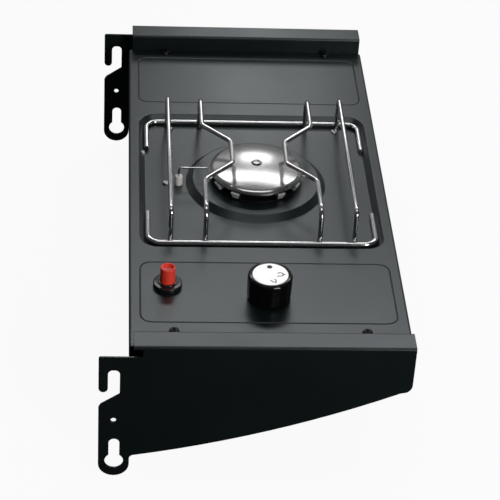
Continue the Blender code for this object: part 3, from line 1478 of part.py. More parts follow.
# Knob: a black cap on the stem, with a pale dial disc let into its crown
def make_knob():
    seat = KNOB_CROWN - DIAL_SHEET - GAP
    bore = STEM_RADIUS + GAP
    cup = KNOB_FOOT_RADIUS - KNOB_WALL
    ceiling = KNOB_CROWN - KNOB_CEILING_DROP
    hub_foot = KNOB_FOOT + PUSH_TRAVEL
    knob = turned(
        "knob",
        [
            (0.0, seat),
            (DIAL_RADIUS + GAP, seat),
            (DIAL_RADIUS + GAP, KNOB_CROWN),
            (KNOB_CROWN_RADIUS, KNOB_CROWN),
            (KNOB_RADIUS - KNOB_SHOULDER_INSET, KNOB_CROWN - KNOB_SHOULDER_DROP / 2),
            (KNOB_RADIUS, KNOB_CROWN - KNOB_SHOULDER_DROP),
            (KNOB_FOOT_RADIUS, KNOB_FOOT),
            (cup, KNOB_FOOT),
            (cup - KNOB_CUP_TAPER, ceiling),
            (HUB_RADIUS + HUB_TAPER, ceiling),
            (HUB_RADIUS, hub_foot),
            (bore, hub_foot),
            (bore, STEM_TOP + GAP),
            (0.0, STEM_TOP + GAP),
        ],
        finish("knob black plastic", BLACK_PLASTIC, 0.18, 0.0),
        steps=KNOB_SIDES,
    )
    knob.location = (*KNOB, PLATE_TOP)
    bm = bmesh.new()
    low = PLATE_TOP + seat + GAP
    add_rod(bm, DIAL_RADIUS, low, low + DIAL_SHEET, KNOB, KNOB_SIDES)
    from_bmesh("knob_dial", bm, finish("dial face", WHITE_FACE, 0.4, 0.1))


make_top_plate()
make_bracket("front_bracket", -1, FRONT_LEDGE, FRONT_SCREW_Y)
make_bracket("rear_bracket", 1, REAR_LEDGE, REAR_SCREW_Y)
make_plate_fasteners()
make_grate()
make_burner()
make_air_shutter()
make_strap()
make_electrode()
make_igniter()
make_lead()
make_valve()
make_knob()
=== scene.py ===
"""The looks of a gas side burner: a folded steel table with burner, wire grate, igniter and knob."""

import json
from math import atan2, cos, hypot, pi, radians, sin, tau

import bmesh
import bpy
from mathutils import Matrix, Vector


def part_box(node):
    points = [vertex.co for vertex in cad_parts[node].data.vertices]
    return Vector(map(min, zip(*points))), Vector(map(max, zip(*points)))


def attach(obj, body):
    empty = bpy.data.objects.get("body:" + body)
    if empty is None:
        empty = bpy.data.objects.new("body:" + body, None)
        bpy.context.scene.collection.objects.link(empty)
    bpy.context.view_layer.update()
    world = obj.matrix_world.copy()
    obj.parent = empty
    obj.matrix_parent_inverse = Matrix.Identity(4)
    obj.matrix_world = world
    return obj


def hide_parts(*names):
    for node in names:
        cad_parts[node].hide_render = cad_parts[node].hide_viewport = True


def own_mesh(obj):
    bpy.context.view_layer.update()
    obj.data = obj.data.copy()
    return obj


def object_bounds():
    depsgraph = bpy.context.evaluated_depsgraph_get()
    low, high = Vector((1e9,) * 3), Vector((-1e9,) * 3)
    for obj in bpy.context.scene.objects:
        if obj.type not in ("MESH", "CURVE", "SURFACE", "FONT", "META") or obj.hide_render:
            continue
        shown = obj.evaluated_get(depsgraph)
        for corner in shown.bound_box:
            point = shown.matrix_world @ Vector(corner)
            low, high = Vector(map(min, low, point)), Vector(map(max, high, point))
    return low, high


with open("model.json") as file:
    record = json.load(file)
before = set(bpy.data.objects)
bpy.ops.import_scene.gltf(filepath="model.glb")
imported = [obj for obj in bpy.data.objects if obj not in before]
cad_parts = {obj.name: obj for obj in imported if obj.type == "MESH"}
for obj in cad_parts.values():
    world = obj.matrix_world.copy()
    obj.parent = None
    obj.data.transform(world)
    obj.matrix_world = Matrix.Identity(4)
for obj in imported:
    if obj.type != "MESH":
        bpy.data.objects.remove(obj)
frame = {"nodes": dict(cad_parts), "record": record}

cad_low, cad_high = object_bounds()
scene = bpy.context.scene
scene.view_settings.view_transform = "Standard"


# Camera: a long lens that looks down on the table from its knob end. It is tilted, turned and
# rolled a little, as the photograph was taken.
CAMERA_PLACE = (-0.0041, -1.7280, 1.1860)
CAMERA_TILT = 36.07
CAMERA_TURN = 4.985
CAMERA_ROLL = 3.61
CAMERA_LENS = 142.07
CAMERA_SENSOR = 36.0
CAMERA_REACH = 20.0

lens = bpy.data.cameras.new("camera")
lens.lens = CAMERA_LENS
lens.sensor_width = CAMERA_SENSOR
lens.clip_end = CAMERA_REACH
camera = bpy.data.objects.new("camera", lens)
scene.collection.objects.link(camera)
aim = Matrix.Rotation(radians(-CAMERA_TURN), 4, "Z") @ Matrix.Rotation(radians(90 - CAMERA_TILT), 4, "X")
camera.matrix_world = Matrix.Translation(CAMERA_PLACE) @ aim @ Matrix.Rotation(radians(CAMERA_ROLL), 4, "Z")
scene.camera = camera


# Room: a pale floor just under the hooks and a grey sky that is darker in front. Behind the table a
# wide lamp stands over a narrow and a dim wide one, as the cap mirrors them, one more hangs above and
# one stands low in front. The camera sees floor and sky as white.
FLOOR_SIZE = 12.0
FLOOR_GAP = 0.004
FLOOR_GLOW = 0.93
FLOOR_PALE = (0.98, 0.98, 0.98, 1.0)
FLOOR_MIRRORED = (0.04, 0.04, 0.04, 1.0)
FLOOR_SOFT = 0.09
FLOOR_ROUGHNESS = 0.9
SEEN_WHITE = (1.0, 1.0, 1.0, 1.0)
SKY_BACK = (0.17, 0.17, 0.175, 1.0)
SKY_FRONT = (0.05, 0.05, 0.052, 1.0)
LAMP_AIM = (0.15, 0.0, 0.0)
LAMPS = (
    ("upper rear lamp", (0.28, 1.07, 1.20), (1.6, 0.17), 5.4),
    ("lower rear lamp", (0.26, 1.41, 0.77), (0.27, 0.24), 0.75),
    ("low wide lamp", (0.15, 1.44, 0.80), (1.8, 0.36), 0.75),
    ("top lamp", (0.15, -0.25, 1.78), (1.4, 0.50), 4.0),
    ("front lamp", (0.95, -1.45, 0.50), (0.6, 0.6), 13.0),
)


class Signal:
    """An output socket of a node tree. Sums and products with it are worked out by Math nodes."""

    def __init__(self, tree, socket=None):
        self.tree = tree
        self.socket = socket

    def node(self, kind, settings=(), inputs=(), output=0):
        """Adds a node: its settings first, then the values or signals of its inputs."""
        made = self.tree.nodes.new(kind)
        for key, value in dict(settings).items():
            if key != "stops":
                setattr(made, key, value)
                continue
            steps = made.color_ramp.elements
            while len(steps) < len(value):
                steps.new(0.5)
            for step, (position, colour) in zip(steps, value):
                step.position = position
                step.color = colour
        for key, value in dict(inputs).items():
            if isinstance(value, Signal):
                self.tree.links.new(value.socket, made.inputs[key])
            else:
                made.inputs[key].default_value = value
        return Signal(self.tree, made.outputs[output])

    def source(self, output):
        """Another output of the node that this signal comes from."""
        return Signal(self.tree, self.socket.node.outputs[output])

    def maths(self, operation, *terms):
        return self.node("ShaderNodeMath", {"operation": operation}, dict(enumerate(terms)))

    def __add__(self, other):
        return self.maths("ADD", self, other)

    def __sub__(self, other):
        return self.maths("SUBTRACT", self, other)

    def __rsub__(self, other):
        return self.maths("SUBTRACT", other, self)

    def __mul__(self, other):
        return self.maths("MULTIPLY", self, other)

    __radd__ = __add__
    __rmul__ = __mul__

    def __abs__(self):
        return self.maths("ABSOLUTE", self)

    def held(self):
        """This signal kept between 0 and 1."""
        return self.maths("MINIMUM", self.maths("MAXIMUM", self, 0.0), 1.0)

    def blend(self, first, second):
        """The first colour where this signal is 0 and the second where it is 1."""
        settings = {"data_type": "RGBA"}
        return self.node("ShaderNodeMix", settings, {0: self, 6: first, 7: second}, 2)


floor_bm = bmesh.new()
bmesh.ops.create_grid(floor_bm, x_segments=1, y_segments=1, size=FLOOR_SIZE / 2)
bmesh.ops.translate(floor_bm, verts=floor_bm.verts, vec=(0, 0, cad_low.z - FLOOR_GAP))
floor_mesh = bpy.data.meshes.new("floor")
floor_bm.to_mesh(floor_mesh)
floor_bm.free()
floor = bpy.data.objects.new("floor", floor_mesh)
scene.collection.objects.link(floor)
floor_paint = bpy.data.materials.new("pale floor")
floor_paint.use_nodes = True
floor_tree = floor_paint.node_tree
floor_shader = floor_tree.nodes["Principled BSDF"]
floor_shader.inputs["Roughness"].default_value = FLOOR_ROUGHNESS
floor_shader.inputs["Specular IOR Level"].default_value = 0.0


def sees_room(tree):
    """Signals for a camera's own ray and for one that metal or glass has mirrored or bent."""
    camera_ray = Signal(tree).node("ShaderNodeLightPath", output="Is Camera Ray")
    mirrored = camera_ray.source("Is Glossy Ray") + camera_ray.source("Is Transmission Ray")
    return camera_ray, mirrored


floor_seen, floor_mirrored = sees_room(floor_tree)
floor_colour = (floor_seen + (1 - floor_mirrored) * FLOOR_SOFT).blend(FLOOR_MIRRORED, FLOOR_PALE)
floor_tree.links.new(floor_colour.socket, floor_shader.inputs["Base Color"])
glow = floor_seen.node("ShaderNodeEmission", inputs={"Color": SEEN_WHITE})
glow_inputs = {0: floor_seen * FLOOR_GLOW, 1: Signal(floor_tree, floor_shader.outputs[0]), 2: glow}
floor_mix = floor_seen.node("ShaderNodeMixShader", inputs=glow_inputs)
floor_tree.links.new(floor_mix.socket, floor_tree.nodes["Material Output"].inputs["Surface"])
floor_mesh.materials.append(floor_paint)

sky = bpy.data.worlds.new("soft sky")
sky.use_nodes = True
scene.world = sky
sky_tree = sky.node_tree
sky_way = Signal(sky_tree).node("ShaderNodeTexCoord", output="Generated")
sky_depth = sky_way.node("ShaderNodeSeparateXYZ", inputs={0: sky_way}, output=1)
sky_stops = ((0.0, SKY_FRONT), (0.5, SKY_BACK))
sky_shade = sky_depth.node("ShaderNodeValToRGB", {"stops": sky_stops}, {0: sky_depth})
sky_light = sees_room(sky_tree)[0].blend(sky_shade, SEEN_WHITE)
sky_tree.links.new(sky_light.socket, sky_tree.nodes["Background"].inputs["Color"])

for lamp_name, lamp_place, lamp_size, lamp_power in LAMPS:
    light = bpy.data.lights.new(lamp_name, "AREA")
    light.shape = "RECTANGLE"
    light.size, light.size_y = lamp_size
    light.energy = lamp_power
    lamp = bpy.data.objects.new(lamp_name, light)
    lamp.location = lamp_place
    lamp.rotation_euler = (Vector(LAMP_AIM) - lamp.location).to_track_quat("-Z", "Y").to_euler()
    scene.collection.objects.link(lamp)


# Top plate: one pressing in 1 mm steel with two framed panels, a well and a round plateau.
# It is powder coated dark grey, with a fine satin grain, over softly rounded folds. A short weld
# closes its front corner at the left skirt.
ENAMEL_GREY = (0.0036, 0.0070, 0.0070)
ENAMEL_DUSTY = (0.0058, 0.0098, 0.0100)
ENAMEL_SHEEN = (0.88, 0.96, 1.0, 1.0)
ENAMEL_ROUGHNESS = 0.32
ENAMEL_UNEVEN = 0.05
CLOUD_SIZE = 0.055
GRAIN_SIZE = 0.0007
GRAIN_DEPTH = 0.00004
FOLD_EDGE = 0.00035
MERGE_GAP = 1e-6
FLAT_ANGLE = 0.6
FLAT_AREA = 0.0025
SHARP_ANGLE = 35
ROUND_SEGMENTS = 2
CORNER_WELD = (0.0075, 0.0014, 0.0048)
CORNER_WELD_DROP = 0.0064
CORNER_WELD_ROUND = 0.4


class Paint:
    """A Principled material with patterns that follow the object's own coordinates."""

    def __init__(self, name, colour, roughness, metallic=0.0, constants=()):
        self.material = bpy.data.materials.new(name)
        self.material.use_nodes = True
        self.tree = self.material.node_tree
        self.shader = self.tree.nodes["Principled BSDF"]
        self.shader.inputs["Base Color"].default_value = (*colour, 1.0)
        self.shader.inputs["Roughness"].default_value = roughness
        self.shader.inputs["Metallic"].default_value = metallic
        for socket, value in dict(constants).items():
            self.shader.inputs[socket].default_value = value
        self.place = Signal(self.tree).node("ShaderNodeTexCoord", output="Object")

    def noise(self, size, detail=2.0, stretch=(1.0, 1.0, 1.0)):
        """Soft noise from 0 to 1 with patches of about this size in metres."""
        where = self.place.node("ShaderNodeMapping", inputs={"Vector": self.place, "Scale": stretch})
        inputs = {"Vector": where, "Scale": 1 / size, "Detail": detail}
        return self.place.node("ShaderNodeTexNoise", inputs=inputs)

    def feed(self, socket, signal):
        self.tree.links.new(signal.socket, self.shader.inputs[socket])

    def tint(self, mask, first, second):
        self.feed("Base Color", mask.blend((*first, 1.0), (*second, 1.0)))

    def mottle(self, mask, least, most):
        """Roughness that goes from least to most as the mask goes from 0 to 1."""
        self.feed("Roughness", mask * (most - least) + least)

    def relief(self, height, depth, strength):
        """Bumps of this depth in metres where the height signal is 1."""
        inputs = {"Height": height, "Distance": depth, "Strength": strength}
        self.feed("Normal", height.node("ShaderNodeBump", inputs=inputs))


enamel_gloss = {"Specular IOR Level": 0.76, "Specular Tint": ENAMEL_SHEEN}
enamel = Paint("satin enamel", ENAMEL_GREY, ENAMEL_ROUGHNESS, 0.0, enamel_gloss)
enamel_cloud = enamel.noise(CLOUD_SIZE, 3.0)
enamel_grain = enamel.noise(GRAIN_SIZE, 1.0)
enamel.tint(enamel_cloud * 0.7 + enamel_grain * 0.3, ENAMEL_GREY, ENAMEL_DUSTY)
enamel.mottle(enamel_cloud, ENAMEL_ROUGHNESS - ENAMEL_UNEVEN, ENAMEL_ROUGHNESS + ENAMEL_UNEVEN)
enamel.relief(enamel_grain, GRAIN_DEPTH, 0.5)


def show(name, bm, paint, sharp=SHARP_ANGLE):
    """A piece from a finished bmesh, shaded smooth up to the sharp angle, with its large faces flat."""
    mesh = bpy.data.meshes.new(name)
    bm.to_mesh(mesh)
    bm.free()
    mesh.shade_smooth()
    mesh.set_sharp_from_angle(angle=radians(sharp))
    for face in mesh.polygons:
        if face.area > FLAT_AREA:
            face.use_smooth = False
    mesh.materials.append(paint.material)
    piece = bpy.data.objects.new(name, mesh)
    scene.collection.objects.link(piece)
    return piece


def soften(piece, width, sharp=SHARP_ANGLE):
    """Rounds a piece's sharp edges."""
    rounding = piece.modifiers.new("rounding", "BEVEL")
    rounding.width = width
    rounding.segments = ROUND_SEGMENTS
    rounding.angle_limit = radians(sharp)
    rounding.use_clamp_overlap = False
    rounding.harden_normals = True


def settle(piece, body, finish, *nodes):
    """Gives a piece its body and hides the solids that it stands for. The finish is not used."""
    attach(piece, body)
    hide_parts(*nodes)


def refined(node, body, finish, paint, width, sharp=SHARP_ANGLE):
    """A CAD solid with its flat faces whole again and its edges rounded, unless the width is 0."""
    bm = bmesh.new()
    bm.from_mesh(frame["nodes"][node].data)
    bmesh.ops.remove_doubles(bm, verts=bm.verts, dist=MERGE_GAP)
    bmesh.ops.dissolve_limit(
        bm,
        angle_limit=radians(FLAT_ANGLE),
        use_dissolve_boundaries=False,
        verts=bm.verts,
        edges=bm.edges,
    )
    piece = show(node + "_finished", bm, paint, sharp)
    if width:
        soften(piece, width, sharp)
    settle(piece, body, finish, node)
    return piece


refined("top_plate", "table", "satin_enamel", enamel, FOLD_EDGE, sharp=24)

plate_low, plate_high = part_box("top_plate")
weld_bm = bmesh.new()
weld_size = Matrix.Diagonal((*CORNER_WELD, 1.0))
weld_place = Vector((plate_low.x, plate_low.y, plate_high.z - CORNER_WELD_DROP)) + Vector(CORNER_WELD) / 2
bmesh.ops.create_cube(weld_bm, size=1.0, matrix=Matrix.Translation(weld_place) @ weld_size)
bmesh.ops.bevel(
    weld_bm,
    geom=weld_bm.edges,
    offset=CORNER_WELD[1] * CORNER_WELD_ROUND,
    segments=3,
    profile=0.5,
    affect="EDGES",
    material=-1,
)
corner_weld = show("corner_weld", weld_bm, enamel)
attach(corner_weld, "table")


# End brackets: each is cut and folded from 2 mm sheet, with its hook slot and keyhole punched.
# They are coated with the plate, and their cut edges are a little rounded by the coat.
BRACKET_EDGE = 0.00035

for node in ("front_bracket", "rear_bracket"):
    refined(node, "table", "satin_enamel", enamel, BRACKET_EDGE, sharp=32)


# Plate screws: four black M5 pan heads with a cross recess, and their nuts under the ledges.
# The thread is a stack of rings, because only its end shows under the nut.
BLACK_OXIDE = (0.018, 0.018, 0.019)
ZINC_LIGHT = (0.66, 0.67, 0.68)
ZINC_DARK = (0.42, 0.43, 0.45)
THREAD_PITCH = 0.0008
THREAD_DEPTH = 0.00035
THREAD_START = 0.0015
SPIN_MERGE = 2e-6
RECESS_TURNS = (20, 110)
NUT_EDGE = 0.0003
NUT_SHARP = 25

black_oxide = Paint("black oxide", BLACK_OXIDE, 0.32, 0.6)
black_oxide.mottle(black_oxide.noise(0.0015), 0.22, 0.47)
zinc = Paint("zinc plate", ZINC_LIGHT, 0.34, 1.0)
zinc_patch = zinc.noise(0.006, 4.0)
zinc.tint(zinc_patch, ZINC_DARK, ZINC_LIGHT)
zinc.mottle(zinc_patch, 0.24, 0.49)
zinc.relief(zinc.noise(0.0004), 0.00002, 0.6)


def bowed(start, end, rise, steps=8):
    """Points of a shallow arc from start to end that bulges to its left by rise, without the start."""
    along = Vector(end) - Vector(start)
    side = Vector((-along.y, along.x)).normalized()
    bulge = [(i / steps, 1 - (2 * i / steps - 1) ** 2) for i in range(1, steps + 1)]
    return [tuple(Vector(start) + along * share + side * rise * lift) for share, lift in bulge]


def spun(profile, centre, steps, closed=False):
    """A bmesh turned about Z from (radius, height) points, with the centre's height added."""
    bm = bmesh.new()
    verts = [bm.verts.new((radius, 0.0, height)) for radius, height in profile]
    edges = [bm.edges.new(pair) for pair in zip(verts, verts[1:])]
    if closed:
        edges.append(bm.edges.new((verts[-1], verts[0])))
    bmesh.ops.spin(
        bm, geom=verts + edges, cent=(0, 0, 0), axis=(0, 0, 1), angle=tau, steps=steps, use_merge=True
    )
    bmesh.ops.remove_doubles(bm, verts=bm.verts, dist=SPIN_MERGE)
    bmesh.ops.recalc_face_normals(bm, faces=bm.faces)
    bmesh.ops.translate(bm, verts=bm.verts, vec=centre)
    return bm


def carve(piece, tools):
    """Takes each tool's bmesh out of a piece for good."""
    for tool in tools:
        mesh = bpy.data.meshes.new("tool")
        tool.to_mesh(mesh)
        tool.free()
        holder = bpy.data.objects.new("tool", mesh)
        scene.collection.objects.link(holder)
        cutting = piece.modifiers.new("cut", "BOOLEAN")
        cutting.operation = "DIFFERENCE"
        cutting.solver = "EXACT"
        cutting.object = holder
        graph = bpy.context.evaluated_depsgraph_get()
        carved = bpy.data.meshes.new_from_object(piece.evaluated_get(graph))
        piece.modifiers.clear()
        piece.data = carved
        bpy.data.objects.remove(holder)


def thread(radius, top, foot):
    """Profile points of a threaded shank from its top to its foot."""
    count = max(2, round((top - foot) / THREAD_PITCH))
    pitch = (top - foot) / count
    points = []
    for turn in range(count):
        height = top - turn * pitch
        points += [(radius - THREAD_DEPTH, height), (radius, height - pitch / 2)]
    return [*points, (radius - THREAD_DEPTH, foot), (0.0, foot)]


def pan_screw(node, finish, paint, head_share):
    """A pan-head screw with a cross recess, as tall as a CAD screw, with a share of that for its head."""
    low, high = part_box(node)
    centre = (low + high) / 2
    head = (high.x - low.x) / 2
    seat = high.z - (high.z - low.z) * head_share
    tall = high.z - seat
    shank = head * 0.5
    shoulder = (head * 0.80, tall * 0.80)
    rim = (head, tall * 0.28)
    profile = [(0.0, tall), *bowed((0.0, tall), shoulder, head * 0.03)]
    profile += [*bowed(shoulder, rim, head * 0.05, 4), (head, 0.0)]
    profile += [(shank, 0.0), *thread(shank, -THREAD_START, low.z - seat)]
    screw = show(node + "_crosshead", spun(profile, (centre.x, centre.y, seat), 36), paint)
    arms = []
    for turn in RECESS_TURNS:
        arm = bmesh.new()
        size = Matrix.Diagonal((head * 1.05, head * 0.24, tall * 1.2, 1.0))
        place = Matrix.Translation((centre.x, centre.y, high.z)) @ Matrix.Rotation(radians(turn), 4, "Z")
        bmesh.ops.create_cube(arm, size=1.0, matrix=place @ size)
        arms.append(arm)
    carve(screw, arms)
    soften(screw, head * 0.015)
    settle(screw, "table", finish, node)


for number in range(1, 5):
    pan_screw(f"plate_screw_{number}", "black_screw", black_oxide, head_share=0.22)
    refined(f"plate_nut_{number}", "table", "zinc", zinc, NUT_EDGE, NUT_SHARP)


# Grate: 5.2 mm wire, bright chrome plated. Two U frames lie in the well, and four rods stand on
# them and carry the pot. Each rod's two feet are resistance welded to the inside of the frames.
CHROME_BRIGHT = (0.86, 0.86, 0.86)
CHROME_DULL = (0.60, 0.60, 0.60)
WIRE_RADIUS = 0.0026
WIRE_END = 0.12
WIRE_SHARP = 50
BEND_STEPS = 8
FRAME_CORNER = 0.0125
ROD_BEND = 0.0060
JOG_BEND = 0.0110
JOG_HALF_STRAIGHT = 0.0205
JOG_RUN = 0.0315
WELD_SIZE = (0.0020, 0.0021, 0.0030)

chrome = Paint("bright chrome", CHROME_BRIGHT, 0.10, 1.0)
chrome_haze = chrome.noise(0.012, 3.0)
chrome.tint(chrome_haze * chrome_haze, CHROME_BRIGHT, CHROME_DULL)
chrome.mottle(chrome_haze, 0.06, 0.18)


def bent(corners, radius):
    """A path through corners in space, with each inner corner rounded."""
    path = [Vector(corners[0])]
    for before, corner, after in zip(corners, corners[1:], corners[2:]):
        corner = Vector(corner)
        back = (Vector(before) - corner).normalized()
        ahead = (Vector(after) - corner).normalized()
        half = back.angle(ahead) / 2
        centre = corner + (back + ahead).normalized() * (radius / sin(half))
        start = corner + back * (radius * cos(half) / sin(half)) - centre
        turn = pi - 2 * half
        axis = start.cross(-back).normalized()
        for step in range(BEND_STEPS + 1):
            path.append(centre + Matrix.Rotation(turn * step / BEND_STEPS, 3, axis) @ start)
    return [*path, Vector(corners[-1])]


def wire(name, path, radius, paint, sides=4):
    """Round wire along a path with slightly rounded cut ends, as a mesh."""
    curve = bpy.data.curves.new(name, "CURVE")
    curve.dimensions = "3D"
    curve.bevel_depth = radius
    curve.bevel_resolution = sides
    curve.use_fill_caps = True
    spline = curve.splines.new("POLY")
    spline.points.add(len(path) - 1)
    for point, co in zip(spline.points, path):
        point.co = (*co, 1.0)
    guide = bpy.data.objects.new(name, curve)
    scene.collection.objects.link(guide)
    graph = bpy.context.evaluated_depsgraph_get()
    bm = bmesh.new()
    bm.from_mesh(bpy.data.meshes.new_from_object(guide.evaluated_get(graph)))
    bpy.data.objects.remove(guide)
    bmesh.ops.remove_doubles(bm, verts=bm.verts, dist=MERGE_GAP)
    bmesh.ops.recalc_face_normals(bm, faces=bm.faces)
    piece = show(name, bm, paint, WIRE_SHARP)
    soften(piece, radius * WIRE_END, WIRE_SHARP)
    return piece


for node, side in (("grate_front_wire", 1), ("grate_rear_wire", -1)):
    low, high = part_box(node)
    level = (low.z + high.z) / 2
    left, right = low.x + WIRE_RADIUS, high.x - WIRE_RADIUS
    far, near = (low.y + WIRE_RADIUS, high.y) if side > 0 else (high.y - WIRE_RADIUS, low.y)
    corners = [(left, near, level), (left, far, level), (right, far, level), (right, near, level)]
    frame_wire = wire(node + "_bent", bent(corners, FRAME_CORNER), WIRE_RADIUS, chrome)
    settle(frame_wire, "grate", "chrome_wire", node)

weld_points = []
for node, jog_side in (
    ("grate_rod_left", 0),
    ("grate_rod_inner_left", 1),
    ("grate_rod_inner_right", -1),
    ("grate_rod_right", 0),
):
    low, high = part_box(node)
    foot, top = low.z, high.z - WIRE_RADIUS
    front, rear = low.y + WIRE_RADIUS, high.y - WIRE_RADIUS
    outside = high.x - WIRE_RADIUS if jog_side < 0 else low.x + WIRE_RADIUS
    inside = low.x + WIRE_RADIUS if jog_side < 0 else high.x - WIRE_RADIUS
    middle = (front + rear) / 2
    corners = [(outside, front, foot), (outside, front, top)]
    if jog_side:
        wide, narrow = JOG_HALF_STRAIGHT + JOG_RUN, JOG_HALF_STRAIGHT
        corners += [(outside, middle - wide, top), (inside, middle - narrow, top)]
        corners += [(inside, middle + narrow, top), (outside, middle + wide, top)]
    corners += [(outside, rear, top), (outside, rear, foot)]
    rod = wire(node + "_bent", bent(corners, JOG_BEND if jog_side else ROD_BEND), WIRE_RADIUS, chrome)
    settle(rod, "grate", "chrome_wire", node)
    weld_points += [(outside, front, -1), (outside, rear, 1)]

low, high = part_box("grate_front_wire")
frame_level = (low.z + high.z) / 2
welds = bmesh.new()
for x, y, side in weld_points:
    place = Matrix.Translation((x, y + side * WIRE_RADIUS, frame_level))
    blob = bmesh.ops.create_uvsphere(welds, u_segments=16, v_segments=10, radius=1.0)
    bmesh.ops.transform(welds, matrix=place @ Matrix.Diagonal((*WELD_SIZE, 1.0)), verts=blob["verts"])
weld_beads = show("grate_welds", welds, chrome)
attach(weld_beads, "grate")


# Burner cap: pressed and polished stainless steel, with rings from spinning, a rolled rim and a
# hollow rivet through its crown into the casting's post. A dark ring is painted round the rivet
# as shade in the crevice.
POLISHED = (0.62, 0.62, 0.61)
POLISHED_GREY = (0.42, 0.42, 0.42)
CREVICE_SHADE = (0.020, 0.020, 0.021, 1.0)
CREVICE_SHADE_WIDTH = 0.0008
RING_SIZE = 0.0006
CAP_SHEET = 0.0016
CAP_HOLE = 0.0027
CAP_CURVE = 0.44
CAP_LIP = (
    (0.0, 0.0006),
    (-0.0004, 0.0),
    (0.0004 - CAP_SHEET, 0.0),
    (-CAP_SHEET, 0.0005),
    (-CAP_SHEET - 0.0003, 0.0020),
)
ROLL = 0.0083
ROLL_START = radians(11.6)
ROLL_END = radians(57)
ROLL_STEPS = 12
RIVET_GAP = 0.0001
RIVET_SHANK = 0.0022
BEAD = 0.0012
BEAD_INSET = 0.7
BEAD_STEPS = 16

cap_low, cap_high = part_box("burner_cap")
burner = (cap_low + cap_high) / 2
cap_radius = (cap_high.x - cap_low.x) / 2
cap_tall = cap_high.z - cap_low.z


def reach_from(paint, centre):
    """The distance in metres from an upright axis through a centre."""
    inputs = {"Vector": paint.place, "Location": (-centre.x, -centre.y, 0), "Scale": (1.0, 1.0, 0.0)}
    where = paint.place.node("ShaderNodeMapping", inputs=inputs)
    return where.node("ShaderNodeVectorMath", {"operation": "LENGTH"}, {0: where}, 1)


def rings(paint, centre, size):
    """Noise from 0 to 1 that only changes with the distance from a centre, as on turned metal."""
    inputs = {"W": reach_from(paint, centre), "Scale": 1 / size, "Detail": 2.0}
    return paint.place.node("ShaderNodeTexNoise", {"noise_dimensions": "1D"}, inputs)


rivet_low, rivet_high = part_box("cap_rivet")
rivet_radius = (rivet_high.x - rivet_low.x) / 2
polished = Paint("polished steel", POLISHED, 0.14, 1.0)
polished_rings = rings(polished, burner, RING_SIZE)
polished_smudge = polished.noise(0.018, 3.0)
polished_wear = polished_smudge * 0.5 + polished_rings * 0.2
polished_bare = polished_wear.blend((*POLISHED, 1.0), (*POLISHED_GREY, 1.0))
# Painted shade: a dark ring where the rivet meets the cap, standing in for shade in the crevice.
off_crevice = abs(reach_from(polished, burner) - rivet_radius)
crevice_shade = ((CREVICE_SHADE_WIDTH - off_crevice) * (2 / CREVICE_SHADE_WIDTH)).held()
polished.feed("Base Color", crevice_shade.blend(polished_bare, CREVICE_SHADE))
polished.feed("Roughness", polished_rings * 0.08 + polished_smudge * 0.10 + 0.11)
polished.relief(polished_rings, 0.000006, 0.5)

drop = cap_tall * CAP_CURVE
edge = cap_radius - ROLL * (sin(ROLL_END) - sin(ROLL_START))
dome = [(CAP_HOLE, cap_tall)]
dome += bowed(dome[-1], (edge, cap_tall - drop), drop / 4, 40)
for step in range(1, ROLL_STEPS + 1):
    lean = ROLL_START + (ROLL_END - ROLL_START) * step / ROLL_STEPS
    out, down = sin(lean) - sin(ROLL_START), cos(ROLL_START) - cos(lean)
    dome.append((edge + ROLL * out, cap_tall - drop - ROLL * down))
dome += [(cap_radius + out, height) for out, height in CAP_LIP]
dome += [(edge, cap_tall - drop - CAP_SHEET)]
dome += bowed(dome[-1], (CAP_HOLE, cap_tall - CAP_SHEET), -drop / 4, 20)
cap_bm = spun(dome[::-1], (burner.x, burner.y, cap_low.z), 128, closed=True)
cap = show("polished_cap", cap_bm, polished, sharp=25)
settle(cap, "table", "polished_steel", "burner_cap")

rivet_seat = cap_high.z + RIVET_GAP
rivet_foot = rivet_low.z - rivet_seat
bead_middle = rivet_radius - BEAD * BEAD_INSET
eyelet = [(0.0, -RIVET_GAP), (bead_middle - BEAD, -RIVET_GAP)]
for step in range(1, BEAD_STEPS + 1):
    turn = pi * step / BEAD_STEPS
    eyelet.append((bead_middle - BEAD * cos(turn), BEAD * sin(turn)))
eyelet += [(RIVET_SHANK, -RIVET_GAP), (RIVET_SHANK, rivet_foot), (0.0, rivet_foot)]
rivet = show("cap_eyelet", spun(eyelet, (burner.x, burner.y, rivet_seat), 48), polished)
settle(rivet, "table", "polished_steel", "cap_rivet")


# Burner head and body: sand-cast aluminium. The head's lugs and ports are cast in, and the body is
# a bowl with a mixing tube. Heat has left them blotched, and the floors of the ports are painted
# black as shade.
CAST_LIGHT = (0.74, 0.75, 0.75)
CAST_DARK = (0.46, 0.46, 0.465)
PORT_SHADE = (0.006, 0.006, 0.006, 1.0)
PORT_SHADE_DEPTH = 0.0021
PORT_SHADE_FADE = 0.0004
HEAD_EDGE = 0.0004
BODY_EDGE = 0.0006


def cast_metal(name, shade_top):
    """Blotched grey casting metal, painted black as shade up to this height."""
    metal = Paint(name, CAST_LIGHT, 0.5, 0.4)
    grain = metal.noise(0.0006, 2.0)
    stain = metal.noise(0.014, 4.0)
    bare = (stain * 0.8 + grain * 0.25).blend((*CAST_DARK, 1.0), (*CAST_LIGHT, 1.0))
    height = metal.place.node("ShaderNodeSeparateXYZ", inputs={0: metal.place}, output=2)
    # Painted shade: black below this height, for the shade on the floors of the ports.
    metal.feed("Base Color", ((shade_top - height) * (1 / PORT_SHADE_FADE)).held().blend(bare, PORT_SHADE))
    metal.mottle(stain, 0.38, 0.58)
    metal.relief(grain, 0.00012, 0.7)
    return metal


def recoat(node, paint):
    """Gives this paint to a CAD solid that stays as it is."""
    coats = frame["nodes"][node].data.materials
    coats.clear()
    coats.append(paint.material)


